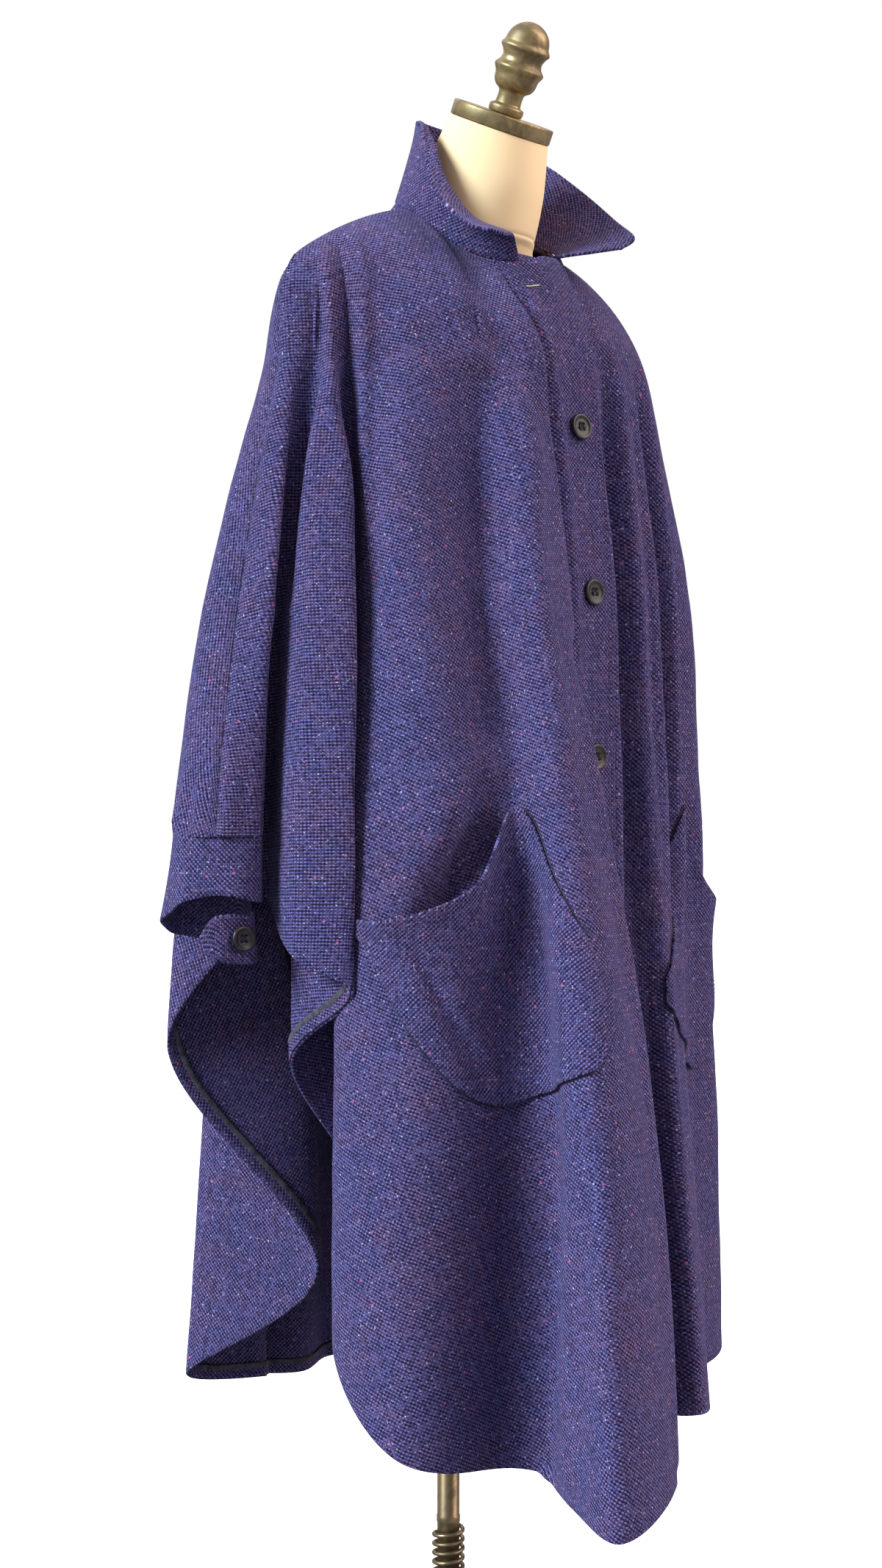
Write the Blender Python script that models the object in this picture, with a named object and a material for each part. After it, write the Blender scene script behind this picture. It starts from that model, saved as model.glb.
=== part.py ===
"""Wool cape coat standing open on a limbless dress form.

The origin is the centre of the stand's underside. +Z is up, -Y the wearer's front, -X the wearer's right.
Tables are in millimetres: across is measured from the centre plane, and ahead forwards from the pole.
"""

import math
from collections import namedtuple

import bmesh
import bpy
import numpy as np
from mathutils import Vector

MM = 0.001

# Cloth
WALL = 2.8 * MM
SEAM_GAP = 0.35 * MM
HANG_LEVELS = np.array([1.28, 1.08, 0.87, 0.60, 0.30])
WIDEST_CUT = 21 * MM
FEWEST_CUTS = 2
MOST_CUTS = 4
SHOULDER_ROWS = 5
HANGING_ROWS = 9
UNDERLAP = 11 * MM
UNDERLAP_FULL_SEAM = 0.34
UNDERLAP_END_SEAM = 0.62
SHORTEST_CUT_RATIO = 0.3
SHOULDER_PULL = 1.3

# Neck seam and shoulder seams
NECK_HALF_WIDTH = 0.078
NECK_HALF_DEPTH = 0.080
NECK_CENTRE_Y = -0.0385
NECK_FRONT_Z = 1.400
NECK_BACK_Z = 1.472
NECK_DROOP = 18.5 * MM
NECK_DROOP_END = math.radians(96)
NECK_SIDE_TURN = math.radians(108)
SHOULDER_TIP = np.array([0.205, 0.003, 1.386])
SHOULDER_ARCH = 9 * MM
SHOULDER_ARCH_POWER = 0.7

# Slopes at which the cloth leaves the top seams, in degrees below level.
FRONT_NECK_SLOPE = 72
BACK_NECK_SLOPE = 52
SHOULDER_SLOPE = 22
OUTER_SHOULDER_SLOPE = 19
SHOULDER_END = 1.7
TIP_STEEPENING = 60

# Buttons
BUTTON_RADIUS = 12.5 * MM
BUTTON_SIDES = 12
BUTTON_GAP = 0.9 * MM
BUTTON_HOLE_RADIUS = 1.3 * MM
BUTTON_HOLE_SPREAD = 3.2 * MM
BUTTON_HOLE_SIDES = 6
CUFF_BUTTON_RADIUS = 11.5 * MM
FRONT_BUTTON_HEIGHTS = (1.233, 1.078, 0.925, 0.770)
TOP_BUTTON_HEIGHT = 1.372
TOP_BUTTON_ACROSS = 0.034

# Form and stand
POLE_RADIUS = 11 * MM
SPRING_RADIUS = 14.2 * MM
SPRING_WIRE = 2.2 * MM
SPRING_TOP = 0.172
SPRING_TURNS = 8
SPRING_STEPS = 8
SPRING_SIDES = 4
CAP_TILT = math.radians(25)
CAP_CENTRE = np.array([0.0, -0.0695, 1.5367])
CAP_RADIUS = 0.050
CAP_THICKNESS = 14.5 * MM
CAP_OVERHANG = 0.5 * MM
CAP_SIDES = 36
FINIAL_SIDES = 16
POLE_SIDES = 14
BASE_SIDES = 24

# seam: place along the top seams, 0 at the neck's centre, 1 at the side of the neck, 2 at the shoulder tip.
# across, ahead: the line's place at each of HANG_LEVELS. foot: how low the cloth reaches on this line.
Line = namedtuple("Line", "name seam across ahead foot")

RIGHT_FRONT = [
    Line("band_edge", -0.36, (-27, -27, -27, -27, -27), (162, 182, 185, 193, 222), 312),
    Line("band_seam", 0.36, (37, 34, 34, 34, 32), (154, 179, 186, 202, 230), 310),
    Line("fold_flank", 0.50, (55, 55, 60, 62, 84), (157, 191, 238, 290, 337), 299),
    Line("fold_crest", 0.68, (84, 90, 116, 156, 190), (151, 189, 250, 312, 358), 279),
    Line("front_valley", 0.86, (117, 136, 156, 172, 184), (136, 169, 203, 219, 224), 304),
    Line("side_lobe", 1.12, (152, 178, 212, 233, 246), (106, 127, 147, 157, 166), 320),
    Line("side_roll", 1.45, (174, 196, 226, 234, 238), (73, 88, 91, 89, 90), 396),
    Line("hidden_turn", 1.60, (185, 199, 178, 172, 172), (55, 64, 52, 48, 46), 522),
    Line("cascade_turn", 1.70, (193, 209, 236, 240, 240), (46, 50, 31, 28, 28), 650),
    Line("cascade_roll", 1.79, (200, 225, 247, 250, 250), (38, 80, 103, 104, 104), 718),
    Line("cascade_front", 1.86, (208, 249, 272, 276, 276), (30, 60, 66, 66, 66), 748),
    Line("underarm_turn", 1.89, (210, 240, 246, 246, 246), (26, 14, 5, 4, 4), 796),
    Line("underarm_front", 1.91, (213, 244, 253, 253, 253), (22, 9, -4, -5, -5), 812),
    Line("sleeve_inside", 1.935, (217, 251, 262, 263, 263), (17, 13, 6, 6, 6), 854),
    Line("sleeve_front", 1.96, (221, 266, 286, 288, 288), (10, 30, 32, 32, 32), 854),
    Line("overarm_right", 2.02, (226, 275, 319, 319, 319), (-6, -2, 14, 14, 14), 854),
]
RIGHT_BACK = [
    Line("sleeve_outside", 1.96, (221, 282, 326, 329, 329), (-30, -33, -29, -29, -29), 854),
    Line("sleeve_back", 1.91, (203, 257, 290, 294, 294), (-52, -60, -58, -58, -58), 854),
    Line("inside_back", 1.89, (197, 247, 262, 264, 264), (-58, -56, -41, -43, -43), 854),
    Line("underarm_back", 1.87, (193, 241, 251, 252, 252), (-61, -50, -30, -30, -30), 792),
    Line("back_turn", 1.85, (188, 235, 243, 243, 243), (-65, -53, -38, -38, -38), 768),
    Line("back_edge_fold", 1.80, (177, 222, 253, 270, 270), (-74, -88, -101, -108, -108), 655),
    Line("back_inner_turn", 1.68, (164, 198, 186, 132, 126), (-84, -90, -76, -58, -56), 432),
    Line("back_corner", 1.50, (143, 158, 154, 146, 151), (-98, -146, -180, -193, -215), 312),
    Line("back_flute", 1.22, (108, 108, 98, 84, 74), (-112, -156, -184, -190, -184), 302),
    Line("back_crest", 0.80, (66, 62, 56, 52, 44), (-121, -165, -194, -214, -226), 292),
    Line("centre_back", 0.0, (0, 0, 0, 0, 0), (-121, -154, -174, -190, -204), 290),
]
LEFT_FRONT = [
    Line("button_edge", -0.22, (-20, -20, -20, -20, -20), (149, 171, 174, 182, 210), 314),
    Line("left_centre", 0.34, (34, 32, 34, 30, 26), (148, 170, 175, 189, 217), 312),
    Line("near_crest", 0.60, (74, 92, 112, 106, 82), (152, 168, 176, 208, 252), 312),
    Line("left_valley", 0.86, (122, 148, 160, 162, 160), (141, 155, 158, 166, 176), 318),
    Line("left_lobe", 1.12, (168, 199, 210, 228, 260), (120, 144, 151, 156, 142), 330),
    Line("left_roll", 1.45, (186, 206, 226, 238, 262), (78, 89, 92, 90, 84), 404),
    Line("left_hidden", 1.60, (190, 200, 180, 174, 176), (56, 62, 50, 46, 44), 530),
    Line("left_turn", 1.70, (196, 210, 236, 242, 242), (46, 48, 31, 28, 28), 660),
    Line("left_cascade", 1.79, (202, 226, 248, 252, 252), (37, 76, 99, 101, 101), 722),
    Line("left_cascade_front", 1.86, (209, 250, 272, 276, 276), (29, 57, 63, 63, 63), 752),
    Line("left_underarm_turn", 1.89, (211, 240, 246, 246, 246), (25, 13, 5, 4, 4), 796),
    Line("left_underarm", 1.91, (214, 244, 253, 253, 253), (21, 8, -4, -5, -5), 812),
    Line("left_sleeve_inside", 1.935, (217, 251, 262, 263, 263), (16, 12, 6, 6, 6), 854),
    Line("left_sleeve_front", 1.96, (221, 266, 286, 288, 288), (10, 29, 31, 31, 31), 854),
    Line("overarm_left", 2.02, (226, 275, 318, 318, 318), (-6, -3, 12, 12, 12), 854),
]
LEFT_BACK = [
    Line("left_sleeve_outside", 1.96, (221, 282, 326, 329, 329), (-30, -33, -30, -30, -30), 854),
    Line("left_sleeve_back", 1.91, (203, 257, 290, 294, 294), (-52, -59, -58, -58, -58), 854),
    Line("left_inside_back", 1.89, (197, 247, 262, 264, 264), (-58, -56, -41, -43, -43), 854),
    Line("left_underarm_back", 1.87, (193, 241, 251, 252, 252), (-61, -50, -30, -30, -30), 792),
    Line("left_back_turn", 1.85, (188, 235, 243, 243, 243), (-65, -53, -38, -38, -38), 768),
    Line("left_edge_fold", 1.80, (177, 222, 254, 260, 260), (-74, -87, -99, -103, -103), 662),
    Line("left_inner_turn", 1.68, (164, 198, 186, 138, 132), (-84, -90, -76, -58, -56), 440),
    Line("left_corner", 1.50, (143, 160, 160, 158, 162), (-98, -144, -174, -188, -202), 314),
    Line("left_flute", 1.18, (106, 104, 98, 90, 84), (-113, -154, -178, -182, -176), 304),
    Line("left_crest", 0.74, (62, 60, 56, 54, 50), (-121, -163, -190, -208, -218), 294),
]

# Each row runs up from the neck seam over a crest, where the leaf turns outwards, to the rim.
# turn goes round the neck from the front centre by the wearer's right. Places are across, ahead and height.
Leaf = namedtuple("Leaf", "turn crest rim")
COLLAR = [
    Leaf(21, (-48, 124, 1410), (-76, 141, 1404)),
    Leaf(33, (-52, 114, 1415), (-92, 142, 1404)),
    Leaf(52, (-67, 93, 1427), (-104, 121, 1411)),
    Leaf(76, (-80, 68, 1466), (-104, 77, 1451)),
    Leaf(100, (-72, 47, 1502), (-92, 55, 1487)),
    Leaf(125, (-57, 18, 1524), (-71, 30, 1527)),
    Leaf(150, (-36, -11, 1530), (-42, -2, 1541)),
    Leaf(180, (0, -36, 1542), (0, -34, 1554)),
    Leaf(208, (38, -24, 1528), (39, -20, 1547)),
    Leaf(235, (72, -1, 1515), (76, 4, 1540)),
    Leaf(262, (94, 33, 1497), (102, 36, 1521)),
    Leaf(290, (103, 74, 1471), (113, 76, 1489)),
    Leaf(315, (95, 112, 1440), (114, 118, 1453)),
    Leaf(332, (80, 135, 1421), (107, 147, 1430)),
    Leaf(341, (62, 134, 1412), (88, 146, 1418)),
]
COLLAR_LIFT = 3.1 * MM
COLLAR_STAND_ROWS = 3
COLLAR_FALL_ROWS = 2

# The cuff band's path: its sewn edge and its free edge, from the end under the button to the buttoned tab.
Band = namedtuple("Band", "top_across top_ahead top low_across low_ahead low")
CUFF = [
    Band(265, 11, 854, 268, 14, 796),
    Band(286, 31, 854, 290, 35, 797),
    Band(318, 13, 854, 324, 14, 803),
    Band(328, -29, 854, 336, -26, 790),
    Band(294, -57, 854, 308, -64, 768),
    Band(267, -43, 853, 277, -53, 760),
    Band(264, -12, 847, 265, -22, 752),
    Band(266, 2, 800, 267, 4, 746),
    Band(283, 19, 786, 285, 22, 742),
    Band(306, 15, 785, 308, 18, 743),
    Band(320, 6, 782, 322, 8, 746),
    Band(326, 0, 773, 327, 1, 757),
]
CUFF_GAP = 0.5 * MM
CUFF_ROWS = 4
CUFF_BUTTON_ROW = 8

# A pocket's outline, a row for each column of the front it lies on. place counts columns forwards of the side
# lobe, top and low are heights, and mouth says that the upper edge is free.
Patch = namedtuple("Patch", "place top low mouth")
POCKET = [
    Patch(-3, 782, 774, True),
    Patch(-2, 780, 760, True),
    Patch(-1, 779, 728, True),
    Patch(0, 783, 694, True),
    Patch(1, 793, 656, True),
    Patch(2, 812, 627, True),
    Patch(3, 850, 619, True),
    Patch(4, 878, 628, True),
    Patch(5, 870, 636, False),
    Patch(6, 831, 644, False),
    Patch(7, 797, 651, False),
    Patch(8, 764, 659, False),
    Patch(9, 734, 676, False),
]
POCKET_GAP = 0.7 * MM
POCKET_GAPE = 12 * MM
POCKET_GAPE_DEPTH = 0.625
POCKET_ROWS = 8

# height: a section's centre. behind: how far that centre lies behind the pole. Sections lean with the neck.
# shoulder: how much further the section reaches out along the shoulder's ridge.
# ridge: how sharp that ridge is, from 1 for a plain oval.
Ring = namedtuple("Ring", "height behind lean half_width half_depth shoulder ridge")
FORM = [
    Ring(720, 2, 0, 140, 96, 0, 1), Ring(724, 2, 0, 148, 103, 0, 1),
    Ring(780, 3, 0, 162, 113, 0, 1), Ring(850, 3, 0, 168, 118, 0, 1),
    Ring(940, 1, 0, 148, 106, 0, 1), Ring(1030, -3, 0, 122, 92, 0, 1),
    Ring(1110, -9, 0, 137, 106, 0, 1), Ring(1180, -17, 0, 152, 121, 0, 1),
    Ring(1250, -8, 0, 160, 108, 0, 1), Ring(1305, -1, 0, 160, 90, 8, 2),
    Ring(1340, -3, 0, 146, 80, 28, 2), Ring(1364, -7, 0, 124, 74, 52, 3),
    Ring(1382, -12, 0, 104, 69, 72, 4), Ring(1397, -18, 0, 86, 63, 84, 6),
    Ring(1409, -25, 0, 70, 58, 90, 9), Ring(1418.4, -31, 1, 63, 56, 86, 14),
    Ring(1424.5, -35, 3, 60, 56, 76, 60), Ring(1430, -37, 4, 58, 56, 0, 1),
    Ring(1450, -42, 6, 58, 57, 0, 1), Ring(1476, -46, 12, 57.5, 60, 0, 1),
    Ring(1503, -55, 19, 54, 56.5, 0, 1),
]
RIDGE_BEHIND = -5 * MM
FORM_SIDES = 24

# Turned profiles: radius and height above the foot, or above the cap's middle.
CAP = [(49.4, -7.25), (50, -6.65), (50, 6.05), (48.8, 7.25)]
FINIAL = [
    (16, 0), (17, 3), (16.6, 7.2), (12.8, 9.5), (12.2, 17.5), (13, 21.5), (17.6, 25), (20.4, 30),
    (21.4, 36.5), (24.1, 42), (24.1, 44), (20.6, 48.5), (19.6, 53.2), (21.6, 58.2), (24.2, 62.4),
    (21.6, 67.5), (20.6, 72), (18.4, 77.5), (13.6, 83), (6.5, 87.4),
]
BASE = [
    (225, 0), (225, 8), (222, 11), (216, 12.5), (60, 18), (40, 24), (26, 34), (20, 48), (19, 92),
    (17.5, 95.5),
]
# How far each point of a button's profile lies inside its rim, and its height.
BUTTON = [(0.9, 0), (0, 0.9), (0, 3.3), (1.2, 4.2), (3.1, 3.1)]


def clear_scene():
    for item in list(bpy.data.objects):
        bpy.data.objects.remove(item, do_unlink=True)


def material(name, colour, roughness, metallic=0.0):
    made = bpy.data.materials.new(name)
    made.use_nodes = True
    shader = made.node_tree.nodes["Principled BSDF"]
    shader.inputs["Base Color"].default_value = (*colour, 1.0)
    shader.inputs["Roughness"].default_value = roughness
    shader.inputs["Metallic"].default_value = metallic
    return made


def add_mesh(name, verts, faces, finish, smooth_angle=50):
    """One closed mesh object, its faces turned outwards."""
    mesh = bpy.data.meshes.new(name)
    mesh.from_pydata([tuple(map(float, p)) for p in verts], [], faces)
    shape = bmesh.new()
    shape.from_mesh(mesh)
    bmesh.ops.recalc_face_normals(shape, faces=shape.faces)
    shape.to_mesh(mesh)
    shape.free()
    mesh.shade_smooth()
    mesh.set_sharp_from_angle(angle=math.radians(smooth_angle))
    mesh.materials.append(finish)
    made = bpy.data.objects.new(name, mesh)
    bpy.context.scene.collection.objects.link(made)
    return made


def unit(vectors):
    return vectors / np.linalg.norm(vectors, axis=-1, keepdims=True)


def hermite(start, end, start_slope, end_slope, t):
    t2, t3 = t * t, t * t * t
    near = (2 * t3 - 3 * t2 + 1) * start + (t3 - 2 * t2 + t) * start_slope
    return near + (3 * t2 - 2 * t3) * end + (t3 - t2) * end_slope


def slopes_through(points, places):
    """The slope at each point of a smooth curve through points at the given places."""
    gaps = np.diff(places)[:, None]
    chords = np.diff(points, axis=0) / gaps
    slopes = np.empty_like(points)
    slopes[0], slopes[-1] = chords[0], chords[-1]
    inner = chords[:-1] * gaps[1:] + chords[1:] * gaps[:-1]
    slopes[1:-1] = inner / (gaps[1:] + gaps[:-1])
    return slopes


def curve_at(points, places, wanted, slopes=None):
    """Reads a smooth curve at the wanted place. It runs on straight past its last point."""
    if slopes is None:
        slopes = slopes_through(points, places)
    if wanted >= places[-1]:
        return points[-1] + slopes[-1] * (wanted - places[-1])
    span = max(0, int(np.searchsorted(places, wanted, side="right")) - 1)
    length = places[span + 1] - places[span]
    t = (wanted - places[span]) / length
    ends = points[span], points[span + 1], slopes[span] * length, slopes[span + 1] * length
    return hermite(*ends, t)


def neck_seam(turn, side):
    """A point of the neck seam, which droops on the wearer's right. turn is 0 in front and pi at the back."""
    z = 0.5 * (NECK_FRONT_Z + NECK_BACK_Z) - 0.5 * (NECK_BACK_Z - NECK_FRONT_Z) * math.cos(turn)
    if side < 0 and 0 < turn < NECK_DROOP_END:
        z -= NECK_DROOP * math.sin(math.pi * turn / NECK_DROOP_END)
    x = side * NECK_HALF_WIDTH * math.sin(turn)
    return np.array([x, NECK_CENTRE_Y - NECK_HALF_DEPTH * math.cos(turn), z])


def top_seam(seam, side, front):
    """A point of the neck and shoulder seams, and the slope in radians at which the cloth leaves it."""
    gap = (-0.5 if front else 0.5) * SEAM_GAP
    if side > 0 and front:
        share = (UNDERLAP_END_SEAM - seam) / (UNDERLAP_END_SEAM - UNDERLAP_FULL_SEAM)
        gap += UNDERLAP * min(1, max(0, share))
    if seam <= 1:
        turn = NECK_SIDE_TURN * seam if front else math.pi - (math.pi - NECK_SIDE_TURN) * seam
        centre_slope = FRONT_NECK_SLOPE if front else BACK_NECK_SLOPE
        drop = centre_slope * (1 - abs(seam)) + SHOULDER_SLOPE * abs(seam)
        return neck_seam(turn, side) + np.array([0, gap, 0]), math.radians(drop)
    start = neck_seam(NECK_SIDE_TURN, side)
    tip = SHOULDER_TIP * np.array([side, 1, 1])
    arch = SHOULDER_ARCH * math.sin(math.pi * min(1, seam - 1)) ** SHOULDER_ARCH_POWER
    point = start + (tip - start) * (seam - 1) + np.array([0, 0, arch])
    if seam < SHOULDER_END:
        along = (seam - 1) / (SHOULDER_END - 1)
        drop = SHOULDER_SLOPE + (OUTER_SHOULDER_SLOPE - SHOULDER_SLOPE) * along
    else:
        drop = OUTER_SHOULDER_SLOPE + TIP_STEEPENING * (seam - SHOULDER_END)
    return point + np.array([0, gap, 0]), math.radians(drop)


def hanging_point(line, side, z):
    """Where a fold line hangs at height z below the shoulders."""
    places = -HANG_LEVELS
    table = np.array([line.across, [-a for a in line.ahead]], float).T * MM
    x, y = curve_at(table, places, -z)
    return np.array([side * x, y, z])


def line_points(line, side, front):
    """A fold line from its seam down to its foot."""
    start, drop = top_seam(line.seam, side, front)
    end = hanging_point(line, side, HANG_LEVELS[0])
    below = hanging_point(line, side, HANG_LEVELS[0] - 20 * MM)
    level = end[:2] - start[:2]
    reach = np.linalg.norm(level)
    away = np.array([*(level / reach * math.cos(drop)), -math.sin(drop)])
    chord = np.linalg.norm(end - start)
    fall = unit(below - end)
    points = []
    for row in range(SHOULDER_ROWS):
        points.append(hermite(start, end, away * chord * SHOULDER_PULL, fall * chord, row / SHOULDER_ROWS))
    foot = line.foot * MM
    for row in range(HANGING_ROWS + 1):
        z = HANG_LEVELS[0] + (foot - HANG_LEVELS[0]) * row / HANGING_ROWS
        points.append(hanging_point(line, side, z))
    return np.array(points)


def cuts_between(first, second):
    widest = np.linalg.norm(second - first, axis=1).max()
    return int(min(MOST_CUTS, max(FEWEST_CUTS, math.ceil(widest / WIDEST_CUT))))


def smooth_across(lines):
    """Adds columns on smooth curves through fold lines. Returns the columns and each line's place."""
    count = len(lines)
    columns, places = [], []
    for k in range(count - 1):
        cuts = cuts_between(lines[k], lines[k + 1])
        before, after = max(k - 1, 0), min(k + 2, count - 1)
        for cut in range(cuts):
            columns.append(between(lines[before], lines[k], lines[k + 1], lines[after], cut / cuts))
            places.append(k + cut / cuts)
    columns.append(lines[-1])
    places.append(count - 1)
    return np.array(columns), places


def between(before, first, second, after, t):
    """A centripetal curve between two fold lines, row by row."""
    gap = np.sqrt(np.linalg.norm(second - first, axis=1, keepdims=True)) + 0.001 * MM
    gap_before = np.sqrt(np.linalg.norm(first - before, axis=1, keepdims=True))
    gap_before = np.maximum(gap_before, SHORTEST_CUT_RATIO * gap)
    gap_after = np.sqrt(np.linalg.norm(after - second, axis=1, keepdims=True))
    gap_after = np.maximum(gap_after, SHORTEST_CUT_RATIO * gap)
    chord = (second - first) / gap
    start_slope = (first - before) / gap_before - (second - before) / (gap_before + gap) + chord
    end_slope = chord - (after - first) / (gap + gap_after) + (after - second) / gap_after
    return hermite(first, second, start_slope * gap, end_slope * gap, t)


def seat_on_seam(column, rows, place):
    """Moves a column's top on to the seam, and the cloth just below it in proportion."""
    line, _, front = rows[math.floor(place)]
    next_line, side, next_front = rows[math.ceil(place)]
    part = place % 1
    seam = line.seam * (1 - part) + next_line.seam * part
    top, _ = top_seam(seam, side, front and next_front)
    shift = top - column[0]
    for row in range(SHOULDER_ROWS):
        column[row] += shift * (1 - row / SHOULDER_ROWS) ** 2


def cloak():
    """The middle surface of the body cloth: columns from the right front edge round to the left one."""
    rows = [(row, -1, True) for row in RIGHT_FRONT] + [(row, -1, False) for row in RIGHT_BACK]
    rows += [(row, 1, False) for row in reversed(LEFT_BACK)]
    rows += [(row, 1, True) for row in reversed(LEFT_FRONT)]
    surface, places = smooth_across([line_points(*row) for row in rows])
    for column, place in zip(surface, places):
        seat_on_seam(column, rows, place)
    numbers = {row[0].name: places.index(k) for k, row in enumerate(rows)}
    return surface, numbers


def normals_of(surface):
    """Outward normals of a grid of columns and rows."""
    across = np.gradient(surface, axis=0)
    down = np.gradient(surface, axis=1)
    return unit(np.cross(across, down))


def mitre_shoulders(surface, normals):
    """Squares the cloth's top edges along the shoulder seams, so that front and back meet face to face."""
    for side in (-1, 1):
        start = neck_seam(NECK_SIDE_TURN, side)
        along = SHOULDER_TIP * np.array([side, 1, 1]) - start
        square = unit(np.array([-along[1], along[0], 0]))
        for column in range(len(surface)):
            top = surface[column, 0] - start
            if top[0] * side > -MM and abs(top @ square) < MM:
                edge = normals[column, 0]
                normals[column, 0] = unit(edge - square * (edge @ square))


def wall_mesh(name, middle, normals, finish, wall=WALL):
    """A cloth wall of even thickness round a grid of middle points."""
    columns, rows = middle.shape[:2]
    outer = middle + normals * wall / 2
    inner = middle - normals * wall / 2
    verts = np.concatenate([outer.reshape(-1, 3), inner.reshape(-1, 3)])
    total = columns * rows

    def at(c, r, layer):
        return layer * total + c * rows + r

    faces = []
    for c in range(columns - 1):
        for r in range(rows - 1):
            faces.append((at(c, r, 0), at(c, r + 1, 0), at(c + 1, r + 1, 0), at(c + 1, r, 0)))
            faces.append((at(c, r, 1), at(c + 1, r, 1), at(c + 1, r + 1, 1), at(c, r + 1, 1)))
    rim = [(c, 0) for c in range(columns)] + [(columns - 1, r) for r in range(1, rows)]
    rim += [(c, rows - 1) for c in range(columns - 2, -1, -1)] + [(0, r) for r in range(rows - 2, 0, -1)]
    for first, second in zip(rim, rim[1:] + rim[:1]):
        faces.append((at(*first, 0), at(*second, 0), at(*second, 1), at(*first, 1)))
    return add_mesh(name, verts, faces, finish)


def panel(name, surface, normals, first, last, finish):
    """One cut piece: the columns from first to last, drawn back at its side seams by half the seam gap."""
    middle = surface[first:last + 1].copy()
    for edge, neighbour in ((0, 1), (-1, -2)):
        inward = unit(middle[neighbour] - middle[edge])
        inward[0] = inward[1]
        middle[edge] = middle[edge] + inward * SEAM_GAP / 2
    return wall_mesh(name, middle, normals[first:last + 1], finish)


def read_column(points, normals, height):
    """A column's point and normal at one height."""
    heights = points[:, 2]
    row = min(max(int(np.searchsorted(-heights, -height)), 1), len(heights) - 1)
    t = (heights[row - 1] - height) / (heights[row - 1] - heights[row])
    point = points[row - 1] + (points[row] - points[row - 1]) * t
    return point, unit(normals[row - 1] * (1 - t) + normals[row] * t)


def patch_pocket(name, surface, normals, side_column, step, outline, finish):
    """A patch that follows the front it is sewn to, moved out, with its slanted mouth standing open."""
    middle = []
    mouth = [row for row in outline if row.mouth]
    last_mouth = mouth[-1].place - mouth[0].place
    for row in outline:
        column = side_column + step * row.place
        opening = math.sin(math.pi * min(1, (row.place - mouth[0].place) / last_mouth)) if row.mouth else 0
        points = []
        for k in range(POCKET_ROWS):
            t = k / (POCKET_ROWS - 1)
            height = (row.top + (row.low - row.top) * t) * MM
            point, normal = read_column(surface[column], normals[column], height)
            out = WALL + POCKET_GAP + POCKET_GAPE * opening * max(0, 1 - t / POCKET_GAPE_DEPTH) ** 2
            points.append(point + normal * out)
        middle.append(points)
    middle = np.array(middle)
    facing = normals_of(middle) * (1 if step > 0 else -1)
    return wall_mesh(name, middle, facing, finish)


def collar(finish):
    """One leaf that stands on the neck seam and rolls outwards, most at the front ends."""
    lines = []
    rows = [k / COLLAR_STAND_ROWS for k in range(COLLAR_STAND_ROWS)]
    rows += [1 + k / COLLAR_FALL_ROWS for k in range(COLLAR_FALL_ROWS + 1)]
    for leaf in COLLAR:
        base = neck_seam(math.radians(leaf.turn), -1) + np.array([0, 0, COLLAR_LIFT])
        crest, rim = (np.array([x, -ahead, height]) * MM for x, ahead, height in (leaf.crest, leaf.rim))
        points, places = np.array([base, crest, rim]), np.arange(3)
        lines.append(np.array([curve_at(points, places, k) for k in rows]))
    middle, places = smooth_across(lines)
    for column, place in zip(middle, places):
        first, second = COLLAR[math.floor(place)], COLLAR[math.ceil(place)]
        turn = first.turn + (second.turn - first.turn) * (place % 1)
        shift = neck_seam(math.radians(turn), -1) + np.array([0, 0, COLLAR_LIFT]) - column[0]
        for row in range(COLLAR_STAND_ROWS):
            column[row] += shift * (1 - row / COLLAR_STAND_ROWS)
    return wall_mesh("collar", middle, normals_of(middle), finish)


def cuff(name, side, finish):
    """A band round the sleeve's end, gathered on to it, with one end lapped over as a tab."""
    lines = []
    for row in CUFF:
        top = np.array([side * row.top_across, -row.top_ahead, row.top - CUFF_GAP / MM]) * MM
        low = np.array([side * row.low_across, -row.low_ahead, row.low]) * MM
        lines.append(np.array([top + (low - top) * k / (CUFF_ROWS - 1) for k in range(CUFF_ROWS)]))
    middle, places = smooth_across(lines)
    facing = normals_of(middle) * -side
    wall_mesh(name, middle, facing, finish)
    column = places.index(CUFF_BUTTON_ROW) + 1
    place = (middle[column][1] + middle[column][2]) / 2
    normal = unit(facing[column][1] + facing[column][2])
    return place, normal


def turned(name, profile, sides, finish, centre=(0, 0, 0), lean=0.0, smooth_angle=40):
    """A closed turned piece from radii and heights in millimetres, at centre and leaning forwards."""
    verts, faces = [], []
    across = np.array([1, 0, 0])
    back = np.array([0, math.cos(lean), math.sin(lean)])
    up = np.array([0, -math.sin(lean), math.cos(lean)])
    for radius, height in profile:
        for k in range(sides):
            turn = 2 * math.pi * k / sides
            ring = across * math.cos(turn) + back * math.sin(turn)
            verts.append(np.array(centre) + (ring * radius + up * height) * MM)
    for level in range(len(profile) - 1):
        for k in range(sides):
            a, b = level * sides + k, level * sides + (k + 1) % sides
            faces.append((a, b, b + sides, a + sides))
    faces.append(tuple(range(sides)))
    faces.append(tuple(range((len(profile) - 1) * sides, len(profile) * sides)))
    return add_mesh(name, verts, faces, finish, smooth_angle)


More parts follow.
